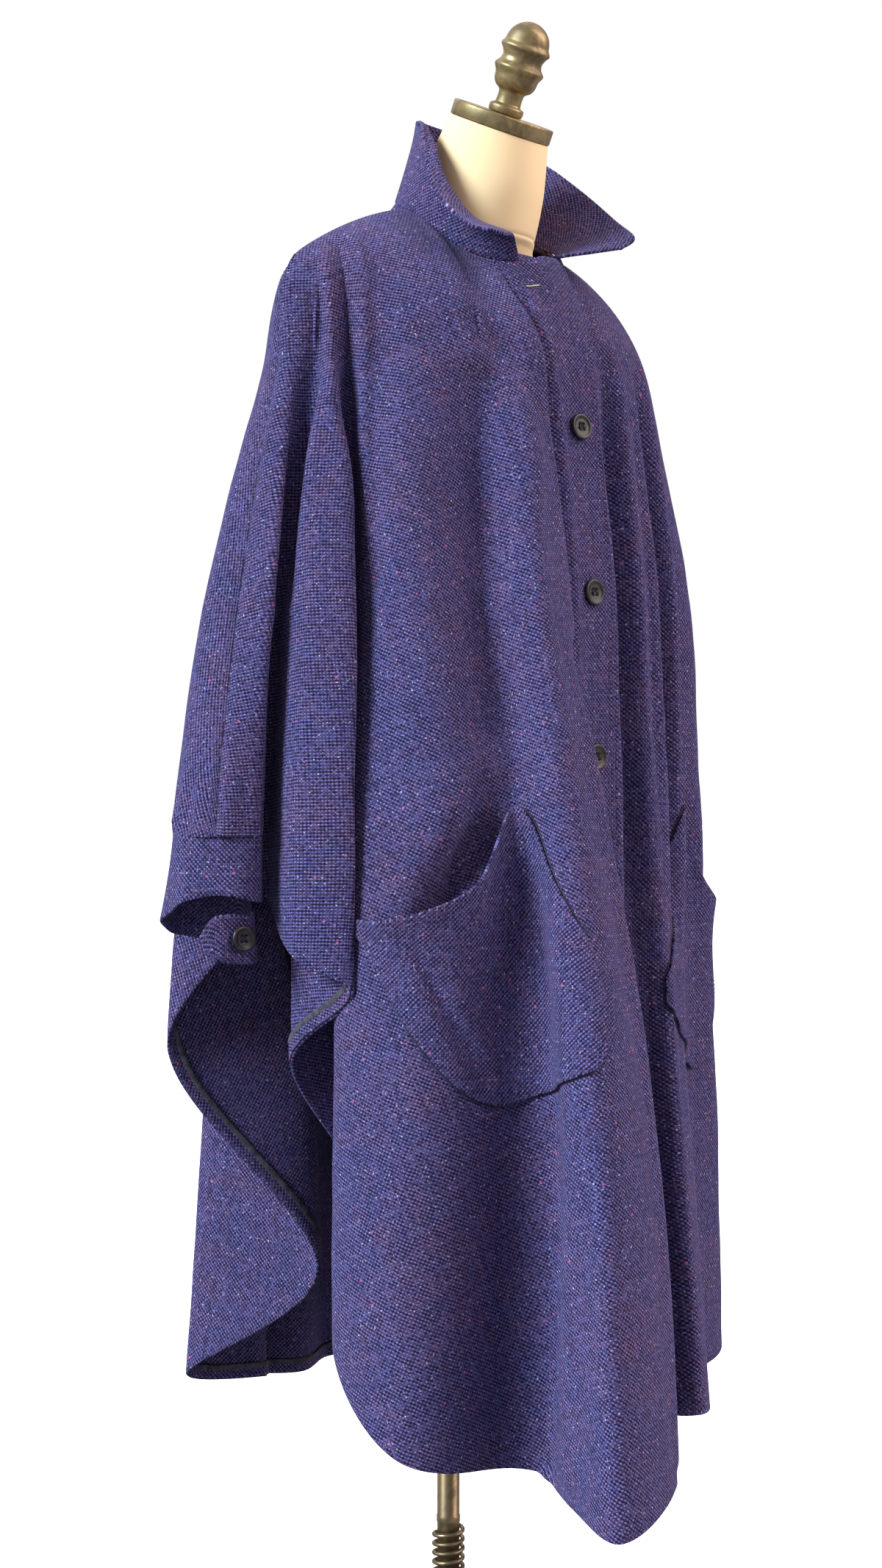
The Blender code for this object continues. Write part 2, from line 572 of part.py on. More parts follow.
def drilled_button_mesh(radius, finish):
    """A rimmed button with four holes, face up, its back at the origin."""
    profile = [(radius / MM - inside, height) for inside, height in BUTTON]
    body = turned("button_blank", profile, BUTTON_SIDES, finish)
    drill = bmesh.new()
    for corner in range(4):
        turn = math.pi / 2 * corner + math.pi / 4
        made = bmesh.ops.create_cone(
            drill, cap_ends=True, segments=BUTTON_HOLE_SIDES,
            radius1=BUTTON_HOLE_RADIUS, radius2=BUTTON_HOLE_RADIUS, depth=2 * BUTTON_RADIUS,
        )
        shift = (BUTTON_HOLE_SPREAD * math.cos(turn), BUTTON_HOLE_SPREAD * math.sin(turn), 0)
        bmesh.ops.translate(drill, vec=shift, verts=made["verts"])
    drill_mesh = bpy.data.meshes.new("button_drill")
    drill.to_mesh(drill_mesh)
    drill.free()
    cutter = bpy.data.objects.new("button_drill", drill_mesh)
    bpy.context.scene.collection.objects.link(cutter)
    cut = body.modifiers.new("holes", "BOOLEAN")
    cut.operation = "DIFFERENCE"
    cut.object = cutter
    graph = bpy.context.evaluated_depsgraph_get()
    mesh = bpy.data.meshes.new_from_object(body.evaluated_get(graph))
    mesh.name = "drilled_button"
    for item in (body, cutter):
        bpy.data.objects.remove(item, do_unlink=True)
    return mesh


def sew_button(name, mesh, place, normal):
    """Sets a button on cloth whose middle is at place, facing along normal."""
    made = bpy.data.objects.new(name, mesh)
    bpy.context.scene.collection.objects.link(made)
    made.rotation_mode = "QUATERNION"
    made.rotation_quaternion = Vector(normal).to_track_quat("Z", "Y")
    made.location = Vector(place + normal * (WALL / 2 + BUTTON_GAP))
    return made


def cloth_at(surface, normals, columns, x, height):
    """The cloth's middle point and normal at one distance across, read between neighbouring columns."""
    reads = [read_column(surface[c], normals[c], height) for c in columns]
    for (a, na), (b, nb) in zip(reads, reads[1:]):
        if min(a[0], b[0]) <= x <= max(a[0], b[0]):
            t = (x - a[0]) / (b[0] - a[0])
            return a + (b - a) * t, unit(na * (1 - t) + nb * t)
    return reads[-1]


def form(finish):
    """The limbless torso with its neck, closed below and under the cap."""
    axis = np.array([0, -math.sin(CAP_TILT), math.cos(CAP_TILT)])
    neck_top = CAP_CENTRE - axis * (CAP_THICKNESS / 2 + SEAM_GAP)
    neck_radius = (CAP_RADIUS - CAP_OVERHANG) / MM
    neck_height, neck_behind = neck_top[2] / MM, neck_top[1] / MM
    top_ring = Ring(neck_height, neck_behind, math.degrees(CAP_TILT), neck_radius, neck_radius, 0, 1)
    rings = FORM + [top_ring]
    verts, faces = [], []
    for row in rings:
        lean = math.radians(row.lean)
        back = np.array([0, math.cos(lean), math.sin(lean)]) * row.half_depth * MM
        for k in range(FORM_SIDES):
            turn = 2 * math.pi * k / FORM_SIDES
            share = abs(math.cos(turn)) ** row.ridge if row.shoulder else 0
            across = math.cos(turn) * (row.half_width + row.shoulder * share) * MM
            behind = row.behind * MM * (1 - share) + RIDGE_BEHIND * share
            verts.append(np.array([across, behind, row.height * MM]) + back * math.sin(turn))
    for level in range(len(rings) - 1):
        for k in range(FORM_SIDES):
            a, b = level * FORM_SIDES + k, level * FORM_SIDES + (k + 1) % FORM_SIDES
            faces.append((a, b, b + FORM_SIDES, a + FORM_SIDES))
    faces.append(tuple(range(FORM_SIDES)))
    faces.append(tuple(range((len(rings) - 1) * FORM_SIDES, len(rings) * FORM_SIDES)))
    return add_mesh("form", verts, faces, finish)


def spring(finish):
    """An open coil round the pole, standing on the base's hub."""
    verts, faces = [], []
    steps = SPRING_TURNS * SPRING_STEPS
    foot = BASE[-1][1] * MM + SPRING_WIRE + SEAM_GAP
    rise = (SPRING_TOP - foot - SPRING_WIRE) / steps
    for k in range(steps + 1):
        turn = 2 * math.pi * k / SPRING_STEPS
        out = np.array([math.cos(turn), math.sin(turn), 0])
        for j in range(SPRING_SIDES):
            angle = 2 * math.pi * j / SPRING_SIDES
            radius = SPRING_RADIUS + SPRING_WIRE * math.cos(angle)
            verts.append(out * radius + np.array([0, 0, foot + rise * k + SPRING_WIRE * math.sin(angle)]))
    for k in range(steps):
        for j in range(SPRING_SIDES):
            a, b = k * SPRING_SIDES + j, k * SPRING_SIDES + (j + 1) % SPRING_SIDES
            faces.append((a, b, b + SPRING_SIDES, a + SPRING_SIDES))
    faces.append(tuple(range(SPRING_SIDES)))
    faces.append(tuple(range(steps * SPRING_SIDES, (steps + 1) * SPRING_SIDES)))
    return add_mesh("spring", verts, faces, finish)


def stand():
    linen = material("linen", (0.78, 0.70, 0.57), roughness=0.85)
    brass = material("aged_brass", (0.30, 0.24, 0.13), roughness=0.42, metallic=0.9)
    bronze = material("bronze", (0.22, 0.18, 0.13), roughness=0.4, metallic=0.9)
    iron = material("black_iron", (0.05, 0.05, 0.05), roughness=0.5, metallic=0.6)
    form(linen)
    axis = np.array([0, -math.sin(CAP_TILT), math.cos(CAP_TILT)])
    turned("neck_cap", CAP, CAP_SIDES, brass, CAP_CENTRE, CAP_TILT)
    finial_foot = CAP_CENTRE + axis * (CAP_THICKNESS / 2 + SEAM_GAP)
    turned("finial", FINIAL, FINIAL_SIDES, brass, finial_foot, CAP_TILT)
    gap = SEAM_GAP / MM
    rod = [(POLE_RADIUS / MM, BASE[-1][1] + gap), (POLE_RADIUS / MM, FORM[0].height - gap)]
    turned("pole", rod, POLE_SIDES, bronze)
    spring(bronze)
    turned("base", BASE, BASE_SIDES, iron)


def coat():
    wool = material("wool", (0.10, 0.085, 0.30), roughness=0.9)
    dark = material("dark_button", (0.035, 0.03, 0.035), roughness=0.35)
    surface, column = cloak()
    normals = normals_of(surface)
    mitre_shoulders(surface, normals)
    panel("front_band", surface, normals, column["band_edge"], column["band_seam"], wool)
    panel("right_front", surface, normals, column["band_seam"], column["overarm_right"], wool)
    panel("back", surface, normals, column["overarm_right"], column["overarm_left"], wool)
    panel("left_front", surface, normals, column["overarm_left"], column["button_edge"], wool)
    collar(wool)
    patch_pocket("pocket_right", surface, normals, column["side_lobe"], -1, POCKET, wool)
    patch_pocket("pocket_left", surface, normals, column["left_lobe"], 1, POCKET, wool)
    large = drilled_button_mesh(BUTTON_RADIUS, dark)
    small = drilled_button_mesh(CUFF_BUTTON_RADIUS, dark)
    band = range(column["band_edge"], column["band_seam"] + 1)
    for number, height in enumerate(FRONT_BUTTON_HEIGHTS, 2):
        sew_button("button_%d" % number, large, *cloth_at(surface, normals, band, 0.0, height))
    under = range(column["near_crest"], column["button_edge"] + 1)
    place = cloth_at(surface, normals, under, TOP_BUTTON_ACROSS, TOP_BUTTON_HEIGHT)
    sew_button("button_1", large, *place)
    for name, side in (("right", -1), ("left", 1)):
        sew_button("cuff_button_" + name, small, *cuff("cuff_" + name, side, wool))


clear_scene()
stand()
coat()
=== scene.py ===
import math

import bmesh
import bpy
import numpy as np
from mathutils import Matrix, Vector, noise


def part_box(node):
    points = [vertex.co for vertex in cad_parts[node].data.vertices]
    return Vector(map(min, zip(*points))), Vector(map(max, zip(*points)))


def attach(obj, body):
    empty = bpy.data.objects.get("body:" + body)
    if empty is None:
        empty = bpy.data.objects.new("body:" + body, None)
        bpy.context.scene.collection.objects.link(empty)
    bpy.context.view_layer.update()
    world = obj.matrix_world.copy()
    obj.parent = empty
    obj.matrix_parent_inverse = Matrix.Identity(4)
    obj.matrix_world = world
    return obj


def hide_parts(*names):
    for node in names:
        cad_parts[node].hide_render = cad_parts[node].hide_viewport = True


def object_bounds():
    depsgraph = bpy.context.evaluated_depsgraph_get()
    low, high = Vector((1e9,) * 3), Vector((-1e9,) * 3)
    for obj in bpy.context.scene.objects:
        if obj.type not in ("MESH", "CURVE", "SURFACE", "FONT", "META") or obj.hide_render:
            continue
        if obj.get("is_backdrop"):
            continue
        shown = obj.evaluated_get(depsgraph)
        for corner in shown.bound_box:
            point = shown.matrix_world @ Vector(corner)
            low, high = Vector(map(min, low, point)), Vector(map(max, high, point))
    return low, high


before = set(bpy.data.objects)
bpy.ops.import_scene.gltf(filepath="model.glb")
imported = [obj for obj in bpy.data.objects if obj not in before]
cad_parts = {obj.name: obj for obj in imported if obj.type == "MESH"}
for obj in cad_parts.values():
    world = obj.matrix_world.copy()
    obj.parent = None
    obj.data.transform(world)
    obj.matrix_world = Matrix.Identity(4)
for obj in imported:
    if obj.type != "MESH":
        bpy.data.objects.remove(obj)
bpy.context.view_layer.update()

mm = 0.001
up = np.array([0.0, 0.0, 1.0])


# small helpers for curves, grids and meshes

def unit(v):
    return v / (np.linalg.norm(v, axis=-1, keepdims=True) + 1e-12)


def hermite(start, end, startSlope, endSlope, t):
    t2, t3 = t * t, t * t * t
    near = (2 * t3 - 3 * t2 + 1) * start + (t3 - 2 * t2 + t) * startSlope
    return near + (3 * t2 - 2 * t3) * end + (t3 - t2) * endSlope


def curveAt(points, places, wanted):
    # smooth curve through points, running on straight past the last one
    gaps = np.diff(places)[:, None]
    chords = np.diff(points, axis=0) / gaps
    slopes = np.empty_like(points)
    slopes[0], slopes[-1] = chords[0], chords[-1]
    slopes[1:-1] = (chords[:-1] * gaps[1:] + chords[1:] * gaps[:-1]) / (gaps[1:] + gaps[:-1])
    if wanted >= places[-1]:
        return points[-1] + slopes[-1] * (wanted - places[-1])
    k = max(0, int(np.searchsorted(places, wanted, side="right")) - 1)
    length = places[k + 1] - places[k]
    t = (wanted - places[k]) / length
    return hermite(points[k], points[k + 1], slopes[k] * length, slopes[k + 1] * length, t)


def between(before, first, second, after, t):
    # centripetal curve from one fold line to the next, row by row
    g1 = np.sqrt(np.linalg.norm(second - first, axis=1, keepdims=True)) + 1e-6
    least = 0.3 * g1      # keeps a short neighbouring gap from bending the curve too far
    g0 = np.maximum(np.sqrt(np.linalg.norm(first - before, axis=1, keepdims=True)), least)
    g2 = np.maximum(np.sqrt(np.linalg.norm(after - second, axis=1, keepdims=True)), least)
    m1 = ((first - before) / g0 - (second - before) / (g0 + g1) + (second - first) / g1) * g1
    m2 = ((second - first) / g1 - (after - first) / (g1 + g2) + (after - second) / g2) * g1
    return hermite(first, second, m1, m2, t)


def fillAcross(lines, step):
    # columns about one step apart between the fold lines, and each column's place among the lines
    columns, places = [], []
    for k in range(len(lines) - 1):
        widest = np.linalg.norm(lines[k + 1] - lines[k], axis=1).max()
        cuts = max(2, math.ceil(widest / step))
        before, after = max(k - 1, 0), min(k + 2, len(lines) - 1)
        for cut in range(cuts):
            columns.append(between(lines[before], lines[k], lines[k + 1], lines[after], cut / cuts))
            places.append(k + cut / cuts)
    columns.append(lines[-1])
    places.append(len(lines) - 1)
    return np.array(columns), places


def gridNormals(surface):
    return unit(np.cross(np.gradient(surface, axis=0), np.gradient(surface, axis=1)))


def runLengths(surface, axis):
    steps = np.linalg.norm(np.diff(surface, axis=axis), axis=2)
    first = np.zeros_like(np.take(steps, [0], axis=axis))
    return np.concatenate([first, np.cumsum(steps, axis=axis)], axis=axis)


def linked(name, data):
    made = bpy.data.objects.new(name, data)
    bpy.context.scene.collection.objects.link(made)
    return made


def setDown(item, location, direction, axis="Z"):
    # moves an object and turns its axis to a direction
    item.rotation_mode = "QUATERNION"
    item.rotation_quaternion = Vector(direction).to_track_quat(axis, "Y")
    item.location = location


def newObject(name, verts, faces, look, smoothAngle=60, keepTurn=False):
    mesh = bpy.data.meshes.new(name)
    mesh.from_pydata(np.asarray(verts, float).tolist(), [], faces)
    if not keepTurn:
        shape = bmesh.new()
        shape.from_mesh(mesh)
        bmesh.ops.recalc_face_normals(shape, faces=shape.faces)
        shape.to_mesh(mesh)
        shape.free()
    mesh.shade_smooth()
    if smoothAngle:
        mesh.set_sharp_from_angle(angle=math.radians(smoothAngle))
    mesh.materials.append(looks[look])
    return linked(name, mesh)


def keepCut(piece, values):
    # the flat cut's coordinates on every point, for the weave to follow
    made = piece.data.attributes.new("cut", "FLOAT_VECTOR", "POINT")
    made.data.foreach_set("vector", np.asarray(values, np.float32).ravel())


def circle(count, points=None):
    # cosine and sine of evenly spaced turns
    turns = [2 * math.pi * k / count for k in range(points or count)]
    return [(math.cos(turn), math.sin(turn)) for turn in turns]


def ringFaces(sides, rings):
    # faces between rings of points, closed at both ends
    faces = []
    for level in range(rings - 1):
        for k in range(sides):
            a, b = level * sides + k, level * sides + (k + 1) % sides
            faces.append((a, b, b + sides, a + sides))
    return faces + [tuple(range(sides)), tuple(range((rings - 1) * sides, rings * sides))]


def joined(name, parts, look, smoothAngle=60):
    # one piece from the verts and faces of several
    verts, faces = [], []
    for v, f in parts:
        faces += [tuple(i + len(verts) for i in face) for face in f]
        verts += list(v)
    return newObject(name, verts, faces, look, smoothAngle)


# directions that no tube and no turned piece runs along
offAxis = {"tube": (0.37, 0.21, 0.9), "turned": (0.3, 1.0, 0.2)}


def tube(points, radius, sides=8):
    # verts and faces of a round bar with closed ends
    points = np.array(points)
    ahead = unit(np.gradient(points, axis=0))
    side = unit(np.cross(ahead, offAxis["tube"]))
    other = np.cross(ahead, side)
    verts = []
    for at, a, b, r in zip(points, side, other, np.broadcast_to(radius, len(points))):
        verts += [at + (a * x + b * y) * r for x, y in circle(sides)]
    return verts, ringFaces(sides, len(points))


def revolve(name, profile, sides, look, axis=up, centre=(0, 0, 0), smoothAngle=45):
    # a closed turned piece from radii and heights
    side = unit(np.cross(axis, offAxis["turned"]))
    other = np.cross(axis, side)
    verts = []
    for radius, height in profile:
        verts += [np.array(centre) + (side * x + other * y) * radius + axis * height
                  for x, y in circle(sides)]
    return newObject(name, verts, ringFaces(sides, len(profile)), look, smoothAngle)


gridEnd, slopeEnd = 1.001, 1.002     # how far short of a grid's end it is read, for values and slopes


def sample(grid, at):
    # reads a grid between its points; at holds column and row places
    c, r = at.clip(0, np.array(grid.shape[:2]) - gridEnd).T
    i, j = c.astype(int), r.astype(int)
    u, v = (c - i)[:, None], (r - j)[:, None]
    near = grid[i, j] * (1 - u) + grid[i + 1, j] * u
    far = grid[i, j + 1] * (1 - u) + grid[i + 1, j + 1] * u
    return near * (1 - v) + far * v


def place(piece, slotName, *nodes):
    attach(piece, "root")
    if nodes:
        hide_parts(*nodes)
    return piece


class Shader:
    # a node tree and a few short ways to wire it
    def __init__(self, tree):
        self.nodes, self.links = tree.nodes, tree.links

    def set(self, sockets, values):
        for key, value in values.items():
            if hasattr(value, "links"):
                self.links.new(value, sockets[key])
            else:
                sockets[key].default_value = value

    def node(self, kind, inputs, **settings):
        made = self.nodes.new("ShaderNode" + kind)
        for key, value in settings.items():
            setattr(made, key, value)
        self.set(made.inputs, inputs)
        return made.outputs

    def group(self, tree, inputs):
        return self.node("Group", inputs, node_tree=tree)

    def math(self, operation, a, b=0.0, clamp=False):
        return self.node("Math", {0: a, 1: b}, operation=operation, use_clamp=clamp)[0]

    def plus(self, a, b, clamp=False):
        return self.math("ADD", a, b, clamp)

    def minus(self, a, b):
        return self.math("SUBTRACT", a, b)

    def times(self, a, b, clamp=False):
        return self.math("MULTIPLY", a, b, clamp)

    def spread(self, value, amount):
        # a random number as a shift to either side of nothing
        return self.times(self.minus(value, 0.5), amount)

    def vector(self, operation, a, b=(0, 0, 0)):
        return self.node("VectorMath", {0: a, 1: b}, operation=operation)[0]

    def scaled(self, a, scale):
        return self.node("VectorMath", {0: a, "Scale": scale}, operation="SCALE")[0]

    def wander(self, place, scale, reach):
        # a small shift that changes from place to place
        away = self.node("TexNoise", {"Vector": place, "Scale": scale, "Detail": 1.0})["Color"]
        return self.scaled(self.vector("SUBTRACT", away, (0.5, 0.5, 0.5)), reach)

    def mix(self, factor, a, b):
        return self.node("Mix", {0: factor, 6: a, 7: b}, data_type="RGBA")[2]

    def blend(self, factor, a, b):
        return self.node("Mix", {0: factor, 2: a, 3: b}, data_type="FLOAT")[0]

    def ramp(self, value, low, high, toLow=0.0, toHigh=1.0, kind="LINEAR"):
        return self.node("MapRange", {"Value": value, "From Min": low, "From Max": high, "To Min": toLow,
                                      "To Max": toHigh}, interpolation_type=kind)["Result"]

    def noise(self, place, scale, detail=2.0, roughness=0.5, distortion=0.0):
        return self.node("TexNoise", {"Vector": place, "Scale": scale, "Detail": detail,
                                      "Roughness": roughness, "Distortion": distortion})["Fac"]

    def random(self, place):
        return self.node("TexWhiteNoise", {"Vector": place}, noise_dimensions="3D")["Value"]

    def bump(self, strength, distance, height):
        return self.node("Bump", {"Strength": strength, "Distance": distance, "Height": height})[0]


def newGroup(name, inputs, outputs):
    # a group that reads a place and some numbers, each with its usual value, and gives masks and values
    tree = bpy.data.node_groups.new(name, "ShaderNodeTree")
    tree.interface.new_socket("Place", in_out="INPUT", socket_type="NodeSocketVector")
    for title, value in inputs.items():
        socket = tree.interface.new_socket(title, in_out="INPUT", socket_type="NodeSocketFloat")
        socket.default_value = value
    for title in outputs:
        tree.interface.new_socket(title, in_out="OUTPUT", socket_type="NodeSocketFloat")
    given, out = tree.nodes.new("NodeGroupInput").outputs, tree.nodes.new("NodeGroupOutput").inputs
    return tree, Shader(tree), given, out


def newMaterial(name, colour):
    material = bpy.data.materials.new(name)
    material.use_nodes = True
    material.diffuse_color = (*colour, 1)
    return material, Shader(material.node_tree), material.node_tree.nodes["Principled BSDF"].inputs


def plainWeaveGroup():
    # a plain weave: which yarn is on top, its rounding, and a random number for each float and each yarn
    inputs = {"Yarn spacing": 2.4 * mm, "Unevenness": 0.35, "Twist": 0.3}
    outputs = ["Weft on top", "Height", "Float number", "Yarn tone"]
    tree, s, given, out = newGroup("plainWeave", inputs, outputs)
    count = s.scaled(given["Place"], s.math("DIVIDE", 1.0, given["Yarn spacing"]))
    count = s.vector("ADD", count, s.wander(given["Place"], 90.0, given["Unevenness"]))
    cell = s.vector("FLOOR", count)
    column, row, _ = s.node("SeparateXYZ", {0: cell})
    x, y, _ = s.node("SeparateXYZ", {0: s.vector("FRACTION", count)})
    odd = s.math("PINGPONG", s.plus(column, row), 1.0)
    # the twist slants each float a little
    leaning = [s.plus(here, s.spread(other, given["Twist"])) for here, other in ((x, y), (y, x))]
    a, b = [s.math("MAXIMUM", s.math("SINE", s.times(here, math.pi))) for here in leaning]
    tight, full = 0.9, 0.6      # how soon a float's rounding falls off across it and along it
    along = s.times(s.math("POWER", a, full), s.math("POWER", b, tight))
    across = s.times(s.math("POWER", a, tight), s.math("POWER", b, full))
    apart = -7.0                # keeps the numbers of warp and weft yarns apart
    yarn = s.node("CombineXYZ", {0: s.blend(odd, column, apart), 1: s.blend(odd, apart, row)})[0]
    s.set(out, {"Weft on top": odd, "Height": s.blend(odd, across, along), "Float number": s.random(cell),
                "Yarn tone": s.random(yarn)})
    return tree


def knotsGroup():
    # small knots of coloured wool caught in the yarn
    tree, s, given, out = newGroup("knots", {"Spacing": 12 * mm, "Size": 1.2 * mm, "Share": 0.5},
                                   ["Mask", "Number"])
    moved = s.vector("ADD", given["Place"], s.wander(given["Place"], 900.0, 1.6 * mm))
    cells = s.node("TexVoronoi", {"Vector": moved, "Scale": s.math("DIVIDE", 1.0, given["Spacing"])},
                   feature="F1", voronoi_dimensions="2D")
    size, chance, number = s.node("SeparateColor", {0: cells["Color"]})
    away = s.math("DIVIDE", s.times(cells["Distance"], given["Spacing"]),
                  s.times(given["Size"], s.plus(0.45, size)))
    mask = s.ramp(away, 1.0, 0.55, kind="SMOOTHSTEP")
    s.set(out, {"Mask": s.times(mask, s.math("LESS_THAN", chance, given["Share"])), "Number": number})
    return tree


def patinaGroup():
    # handling marks on metal and horn: cloudy tarnish, fine scratches and small chips
    tree, s, given, out = newGroup("patina", {"Cloud scale": 40.0, "Chip share": 0.2},
                                   ["Tarnish", "Scratches", "Chips"])
    place = given["Place"]
    cloud = s.noise(place, given["Cloud scale"], detail=5.0, roughness=0.62, distortion=0.4)
    drawn = s.noise(s.vector("MULTIPLY", place, (1.0, 1.0, 14.0)), scale=190.0, detail=3.0, roughness=0.7)
    chips = s.minus(s.noise(place, scale=260.0, detail=3.0, roughness=0.65),
                    s.minus(0.78, s.times(given["Chip share"], 0.4)))
    s.set(out, {"Tarnish": s.ramp(cloud, 0.36, 0.66, kind="SMOOTHSTEP"),
                "Scratches": s.ramp(drawn, 0.55, 0.75), "Chips": s.ramp(chips, 0.0, 0.03)})
    return tree


wool = {
    "yarnSpacing": 2.1 * mm,
    "dark": (0.0085, 0.0078, 0.032, 1),
    "darkWarm": (0.016, 0.0085, 0.031, 1),
    "light": (0.139, 0.121, 0.336, 1),
    "lightWarm": (0.188, 0.129, 0.300, 1),
    "warmFrom": 0.43, "warmTo": 0.64,
    "warpLight": 0.92, "weftLight": 0.10,
    "floatSpread": 0.75, "yarnSpread": 0.25, "fibreSpread": 1.5,
    "knots": [
        # colour, faintest and strongest, spacing, size, share of places with one, shift, rise
        ((0.48, 0.45, 0.62, 1), 0.25, 0.9, 6.4 * mm, 0.68 * mm, 0.55, (0, 0, 0), 0.5),
        ((0.48, 0.11, 0.25, 1), 0.5, 1.0, 27 * mm, 1.1 * mm, 0.5, (3.7, 1.3, 0), 0.0),
    ],
    "bump": 0.6, "sheen": 0.09, "specular": 0.11,
}


def woolMaterial(weave, knots):
    material, s, shader = newMaterial("wool", (0.1, 0.09, 0.3))
    cut = s.node("Attribute", {}, attribute_name="cut")["Vector"]
    yarns = s.group(weave, {"Place": cut, "Yarn spacing": wool["yarnSpacing"]})
    fibre = s.noise(cut, scale=1500.0, roughness=0.7)
    warm = s.plus(s.times(s.noise(cut, scale=55.0, detail=3.0, roughness=0.6), 0.6),
                  s.times(s.noise(cut, scale=9.0), 0.4))
    warm = s.ramp(warm, wool["warmFrom"], wool["warmTo"])
    # most warp floats are light, most weft floats dark, and the wool's own mixture blurs both
    lit = s.blend(yarns["Weft on top"], wool["warpLight"], wool["weftLight"])
    for value, amount in ((yarns["Float number"], "floatSpread"), (yarns["Yarn tone"], "yarnSpread"),
                          (fibre, "fibreSpread")):
        lit = s.plus(lit, s.spread(value, wool[amount]))
    # each float darkens towards its low edges, into the hollows between the yarns: painted shade
    lit = s.times(lit, s.ramp(yarns["Height"], 0.0, 0.8, 0.15, 1.0), clamp=True)
    colour = s.mix(lit, s.mix(warm, wool["dark"], wool["darkWarm"]),
                   s.mix(warm, wool["light"], wool["lightWarm"]))
    height = s.plus(s.times(yarns["Height"], 0.75), s.times(fibre, 0.35))
    for tint, faint, strong, spacing, size, share, shift, rise in wool["knots"]:
        knot = s.group(knots, {"Place": s.vector("ADD", cut, shift), "Spacing": spacing, "Size": size,
                               "Share": share})
        colour = s.mix(s.times(knot["Mask"], s.ramp(knot["Number"], 0, 1, faint, strong)), colour, tint)
        height = s.plus(height, s.times(knot["Mask"], rise))
    s.set(shader, {"Base Color": colour, "Roughness": s.ramp(fibre, 0.2, 0.8, 0.78, 0.96),
                   "Normal": s.bump(wool["bump"], 0.6 * mm, height), "Sheen Weight": wool["sheen"],
                   "Sheen Roughness": 0.5, "Sheen Tint": (0.62, 0.60, 1.0, 1),
                   "Specular IOR Level": wool["specular"]})
    return material


linen = {"thread": 0.55 * mm, "light": (0.98, 0.755, 0.45, 1), "shade": (0.93, 0.68, 0.38, 1), "bump": 0.25,
         "sheen": 0.08, "specular": 0.2}


def linenMaterial(weave):
    material, s, shader = newMaterial("linen", (0.78, 0.70, 0.57))
    cut = s.node("Attribute", {}, attribute_name="cut")["Vector"]
    threads = s.group(weave, {"Place": cut, "Yarn spacing": linen["thread"], "Unevenness": 0.9,
                              "Twist": 0.1})
    slub = s.noise(s.vector("MULTIPLY", cut, (1.0, 9.0, 1.0)), scale=60.0, detail=3.0, roughness=0.6)
    # the threads' rounding lightens their crowns and darkens their sides: painted shade, added to the slubs'
    # and the cloth's own random tone
    tone = s.plus(s.times(threads["Height"], 0.35), s.times(slub, 0.5))
    tone = s.plus(tone, s.times(s.noise(cut, scale=14.0), 0.35), clamp=True)
    s.set(shader, {"Base Color": s.mix(tone, linen["shade"], linen["light"]),
                   "Roughness": s.ramp(threads["Yarn tone"], 0, 1, 0.75, 0.92),
                   "Normal": s.bump(linen["bump"], 0.15 * mm, threads["Height"]),
                   "Sheen Weight": linen["sheen"], "Specular IOR Level": linen["specular"]})
    return material


threadLooks = {
    # name: two tones of the twisted thread, roughness
    "woolThread": ((0.062, 0.056, 0.145, 1), (0.13, 0.118, 0.25, 1), 0.75),
    # the dark thread also paints the shadow bars under seam edges and the shade in the buttonhole slits
    "darkThreadAndShadow": ((0.020, 0.018, 0.035, 1), (0.055, 0.05, 0.085, 1), 0.6),
    "greyThread": ((0.010, 0.010, 0.016, 1), (0.095, 0.088, 0.125, 1), 0.8),
    "creamThread": ((0.62, 0.56, 0.44, 1), (0.85, 0.80, 0.68, 1), 0.6),
}


def threadMaterial(name, dark, light, rough):
    material, s, shader = newMaterial(name, light[:3])
    place = s.node("TexCoord", {})["Object"]
    twist = s.noise(place, scale=1400.0, roughness=0.6)
    tone = s.ramp(s.plus(s.times(twist, 0.6), s.times(s.noise(place, scale=160.0), 0.4)), 0.38, 0.62)
    s.set(shader, {"Base Color": s.mix(tone, dark, light), "Normal": s.bump(0.4, 0.1 * mm, twist),
                   "Roughness": s.ramp(twist, 0, 1, rough - 0.1, rough + 0.1), "Specular IOR Level": 0.25})
    return material


metals = {
    # name: clean colour, tarnished colour, chip colour, metallic, roughness clean and tarnished, chip share
    "agedBrass": ((0.37, 0.270, 0.125, 1), (0.155, 0.116, 0.056, 1), (0.80, 0.70, 0.50, 1),
                  0.62, (0.30, 0.52), 0.12),
    "bronze": ((0.30, 0.215, 0.12, 1), (0.125, 0.092, 0.055, 1), (0.45, 0.37, 0.26, 1),
               0.82, (0.27, 0.5), 0.0),
    "blackIron": ((0.045, 0.045, 0.047, 1), (0.020, 0.020, 0.021, 1), (0.16, 0.15, 0.14, 1),
                  0.4, (0.42, 0.62), 0.05),
}


def metalMaterial(name, patina, clean, tarnished, chipped, metallic, rough, chips):
    material, s, shader = newMaterial(name, clean[:3])
    marks = s.group(patina, {"Place": s.node("TexCoord", {})["Object"], "Chip share": chips})
    colour = s.mix(marks["Tarnish"], clean, tarnished)
    colour = s.mix(s.times(marks["Scratches"], 0.25), colour, clean)
    height = s.minus(s.times(marks["Tarnish"], 0.3), marks["Chips"])
    s.set(shader, {"Base Color": s.mix(marks["Chips"], colour, chipped),
                   "Metallic": s.times(metallic, s.minus(1.0, marks["Chips"])),
                   "Roughness": s.plus(s.blend(marks["Tarnish"], *rough), s.times(marks["Scratches"], 0.08)),
                   "Normal": s.bump(0.25, 0.25 * mm, height)})
    return material


horn = {"dark": (0.008, 0.0075, 0.010, 1), "streak": (0.026, 0.021, 0.021, 1),
        "polished": 0.36, "worn": 0.50, "specular": 0.38}


